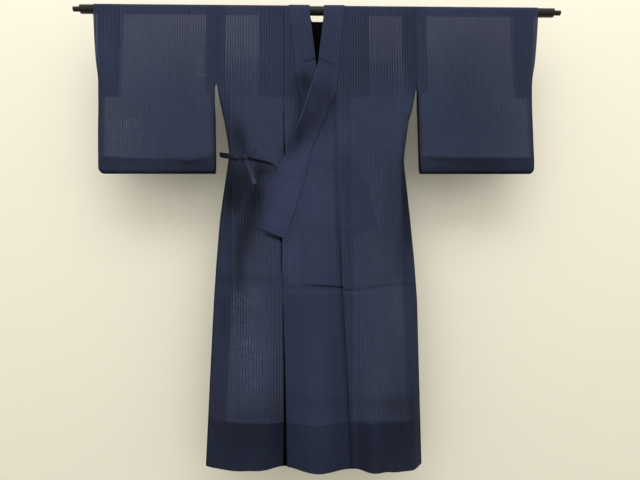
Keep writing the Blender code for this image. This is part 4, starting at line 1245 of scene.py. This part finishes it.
def neck_facing(name, material):
    """A flat piece just inside the back, with its lower corners cut round."""
    across = np.linspace(-1.0, 1.0, 41)[None, :]
    down = np.linspace(0.0, 1.0, 34)[:, None]
    width = FACING_HALF_WIDTH * np.sqrt(1 - (0.75 * smooth((down - 0.6) / 0.4)) ** 2)
    x = width * across
    run = np.broadcast_to(-(FACING_TOP + (FACING_END - FACING_TOP) * down), x.shape)
    depth, _ = back_surface(x, -run - QUARTER)
    place = hang(x, run, depth, -FACING_LIFT)
    return lay_cloth(name, cloth_grid(place, x, run), material)


facing_cloth = gauze_finish("black facing cloth", (0.0022, 0.0026, 0.0022), 1.0, 0.0, 0.8, 0.0)
facing_cloth.node_tree.nodes["Principled BSDF"].inputs["Specular IOR Level"].default_value = 0.0
facing = neck_facing("black_neck_facing", facing_cloth)
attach(facing, "root")


# Ties: two narrow straps of the folded cloth, tied in a bow with one loop at the waist's left.
# One strap is sewn to the collar's lower end and the other to the left front, and both ends hang down.
TIE_LIFT = COAT_DEPTH + 0.0015  # a strap's distance from the middle plane where it lies on the coat
TIE_PIECES = {
    # name: (direction across the strap, rows of x, drop, distance from the middle plane, width, painted
    # shade)
    "tie_strap_front": (
        (0.22, 0.97),
        (
            (-0.2080, 0.4560, 0.0150, 0.0065, 0.95),
            (-0.1950, 0.4585, 0.0138, 0.0070, 0.95),
            (-0.1750, 0.4632, TIE_LIFT, 0.0070, 0.95),
            (-0.1550, 0.4682, TIE_LIFT, 0.0070, 0.95),
            (-0.1350, 0.4730, 0.0135, 0.0065, 0.90),
            (-0.1240, 0.4770, 0.0150, 0.0065, 0.10),
            (-0.1120, 0.4830, 0.0160, 0.0060, -0.10),
        ),
    ),
    "tie_strap_side": (
        (0.35, 0.94),
        (
            (-0.2080, 0.4475, 0.0145, 0.0040, 0.10),
            (-0.1960, 0.4420, TIE_LIFT, 0.0040, 0.30),
            (-0.1860, 0.4365, TIE_LIFT, 0.0045, 0.50),
            (-0.1800, 0.4325, TIE_LIFT, 0.0070, 0.97),
        ),
    ),
    "bow_loop": (
        (-0.08, 0.99),
        (
            (-0.2335, 0.4550, 0.0140, 0.0100, 0.95),
            (-0.2500, 0.4530, 0.0137, 0.0135, 0.95),
            (-0.2700, 0.4500, 0.0138, 0.0150, 0.93),
            (-0.2845, 0.4475, 0.0144, 0.0145, 0.92),
            (-0.2875, 0.4468, 0.0160, 0.0140, 0.90),
            (-0.2875, 0.4468, 0.0182, 0.0140, 0.90),
            (-0.2845, 0.4475, 0.0197, 0.0145, 0.90),
            (-0.2700, 0.4500, 0.0200, 0.0150, 0.88),
            (-0.2500, 0.4530, 0.0195, 0.0135, 0.70),
            (-0.2335, 0.4550, 0.0182, 0.0100, 0.40),
        ),
    ),
    "tie_tail_long": (
        (0.96, 0.20),
        (
            (-0.2135, 0.4590, 0.0140, 0.0075, 0.20),
            (-0.2065, 0.4720, TIE_LIFT, 0.0110, 0.25),
            (-0.1980, 0.4920, TIE_LIFT, 0.0115, 0.30),
            (-0.1910, 0.5150, TIE_LIFT, 0.0120, 0.15),
            (-0.1845, 0.5370, 0.0140, 0.0125, -0.10),
        ),
    ),
    "tie_tail_short": (
        (1.0, 0.0),
        (
            (-0.2305, 0.4620, 0.0135, 0.0055, 0.50),
            (-0.2315, 0.4750, TIE_LIFT, 0.0065, 0.62),
            (-0.2300, 0.4880, 0.0125, 0.0060, 0.72),
        ),
    ),
}
STRAP_THICKNESS, STRAP_SQUARENESS = 0.0013, 0.6
# painted highlight on a strap's upper edge, left off where more shade than this is painted
STRAP_LIT, STRAP_DARK = 0.30, 0.6  # light that an upper edge catches, unless more than this is lost there


def strap(name, direction, rows, material):
    """A narrow folded strap through its rows, with two soft edges, a painted highlight on the upper one,
    and closed ends.
    """
    steps = np.linspace(0, len(rows) - 1, 8 * (len(rows) - 1) + 1)
    x, drop, out, width, lost = through_rows(rows, steps, 0.4)
    across = np.array((direction[0], 0.0, direction[1])) / hypot(*direction)
    middle = np.stack([COAT_X + x, -out, -drop], axis=-1)
    forward = np.gradient(middle, axis=0)
    forward /= np.linalg.norm(forward, axis=1, keepdims=True)
    normal = np.cross(forward, across)
    normal /= np.linalg.norm(normal, axis=1, keepdims=True)
    if normal[0, 1] > 0:
        normal = -normal
    angles = np.linspace(0.0, 2 * pi, 25)
    ways = np.cos(angles), np.sin(angles)
    flat, thick = (np.sign(way) * np.abs(way) ** STRAP_SQUARENESS for way in ways)
    pinch = rounded(np.minimum(steps, steps[-1] - steps) / 0.35)
    ring = middle[:, None, :] + (flat[None, :, None] * across) * (width / 2)[:, None, None]
    ring = ring + normal[:, None, :] * (thick[None, :] * (STRAP_THICKNESS / 2 * pinch)[:, None])[..., None]
    length = length_along(middle)
    lit_edge = flat * (-1 if direction[0] > direction[1] else 1)
    lost = lost[:, None]
    shade = lost - STRAP_LIT * smooth((lit_edge[None, :] - 0.45) / 0.4) * (lost < STRAP_DARK)
    made = lay_cloth(name, cloth_grid(ring, 0.004 * flat, length[:, None], shade=shade), material)
    return made


tie_cloth = gauze_finish("navy tie cloth", (0.034, 0.038, 0.070), 1.0, 0.0, 0.6, 0.02)
for name, (direction, rows) in TIE_PIECES.items():
    piece = strap(f"folded_{name}", direction, rows, tie_cloth)
    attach(piece, "root")
    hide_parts(name)


# Knot: one strap wrapped round the other and drawn tight, where the loop and the two tails come out.
# Its wraps bulge between two deep grooves.
KNOT_TILT = radians(18)
KNOT_GROOVES = (
    # place along the knot, half width, depth
    (-0.0042, 0.0013, 0.0020),
    (0.0022, 0.0011, 0.0018),
)
KNOT_WRAPS, KNOT_BULGE = ((-0.0030, 0.0010), (0.0034, 0.0080)), 0.0007  # start and stop along the knot
# painted shade on the wraps and in the grooves
KNOT_LOST, GROOVE_LOST = 0.07, 0.92  # light lost on the wraps and in the grooves
bpy.ops.object.select_all(action="DESELECT")
knot_low, knot_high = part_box("bow_knot")
knot_middle = (knot_low + knot_high) / 2
knot_size = knot_high - knot_low
bpy.ops.mesh.primitive_uv_sphere_add(segments=40, ring_count=28, radius=0.5, rotation=(0.0, pi / 2, 0.0))
knot = bpy.context.active_object
knot.name = "folded_bow_knot"
move_to_origin(knot)
knot.scale = knot_size
knot.location = knot_middle
move_to_origin(knot)
bpy.ops.object.mode_set(mode="EDIT")


def along_knot(place):
    """Distance along the tilted knot from its middle."""
    return (place.x - knot_middle.x) * cos(KNOT_TILT) + (place.z - knot_middle.z) * sin(KNOT_TILT)


for place, half_width, depth in KNOT_GROOVES:
    select_faces(lambda middle, normal: abs(along_knot(middle) - place) < half_width)
    bpy.ops.transform.shrink_fatten(value=-depth)
for start, stop in KNOT_WRAPS:
    select_faces(lambda middle, normal: start < along_knot(middle) < stop)
    bpy.ops.transform.shrink_fatten(value=KNOT_BULGE)
bpy.ops.mesh.select_all(action="SELECT")
bpy.ops.mesh.vertices_smooth(factor=0.4)
bpy.ops.object.mode_set(mode="OBJECT")
finer = knot.modifiers.new("Soft folds", "SUBSURF")
finer.levels = finer.render_levels = 1
bpy.ops.object.modifier_apply(modifier=finer.name)
bpy.ops.object.shade_smooth()
# painted shade: dark in the grooves, lighter on the wraps
groove_shade = knot.data.attributes.new("shade", "FLOAT", "POINT")
for vertex in knot.data.vertices:
    along = along_knot(vertex.co)
    nearest = min(abs(along - place) / half_width for place, half_width, depth in KNOT_GROOVES)
    on_wrap = min(max(nearest - 0.8, 0.0), 1.0)
    groove_shade.data[vertex.index].value = GROOVE_LOST + (KNOT_LOST - GROOVE_LOST) * on_wrap
knot.data.materials.append(tie_cloth)
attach(knot, "root")
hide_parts("bow_knot")
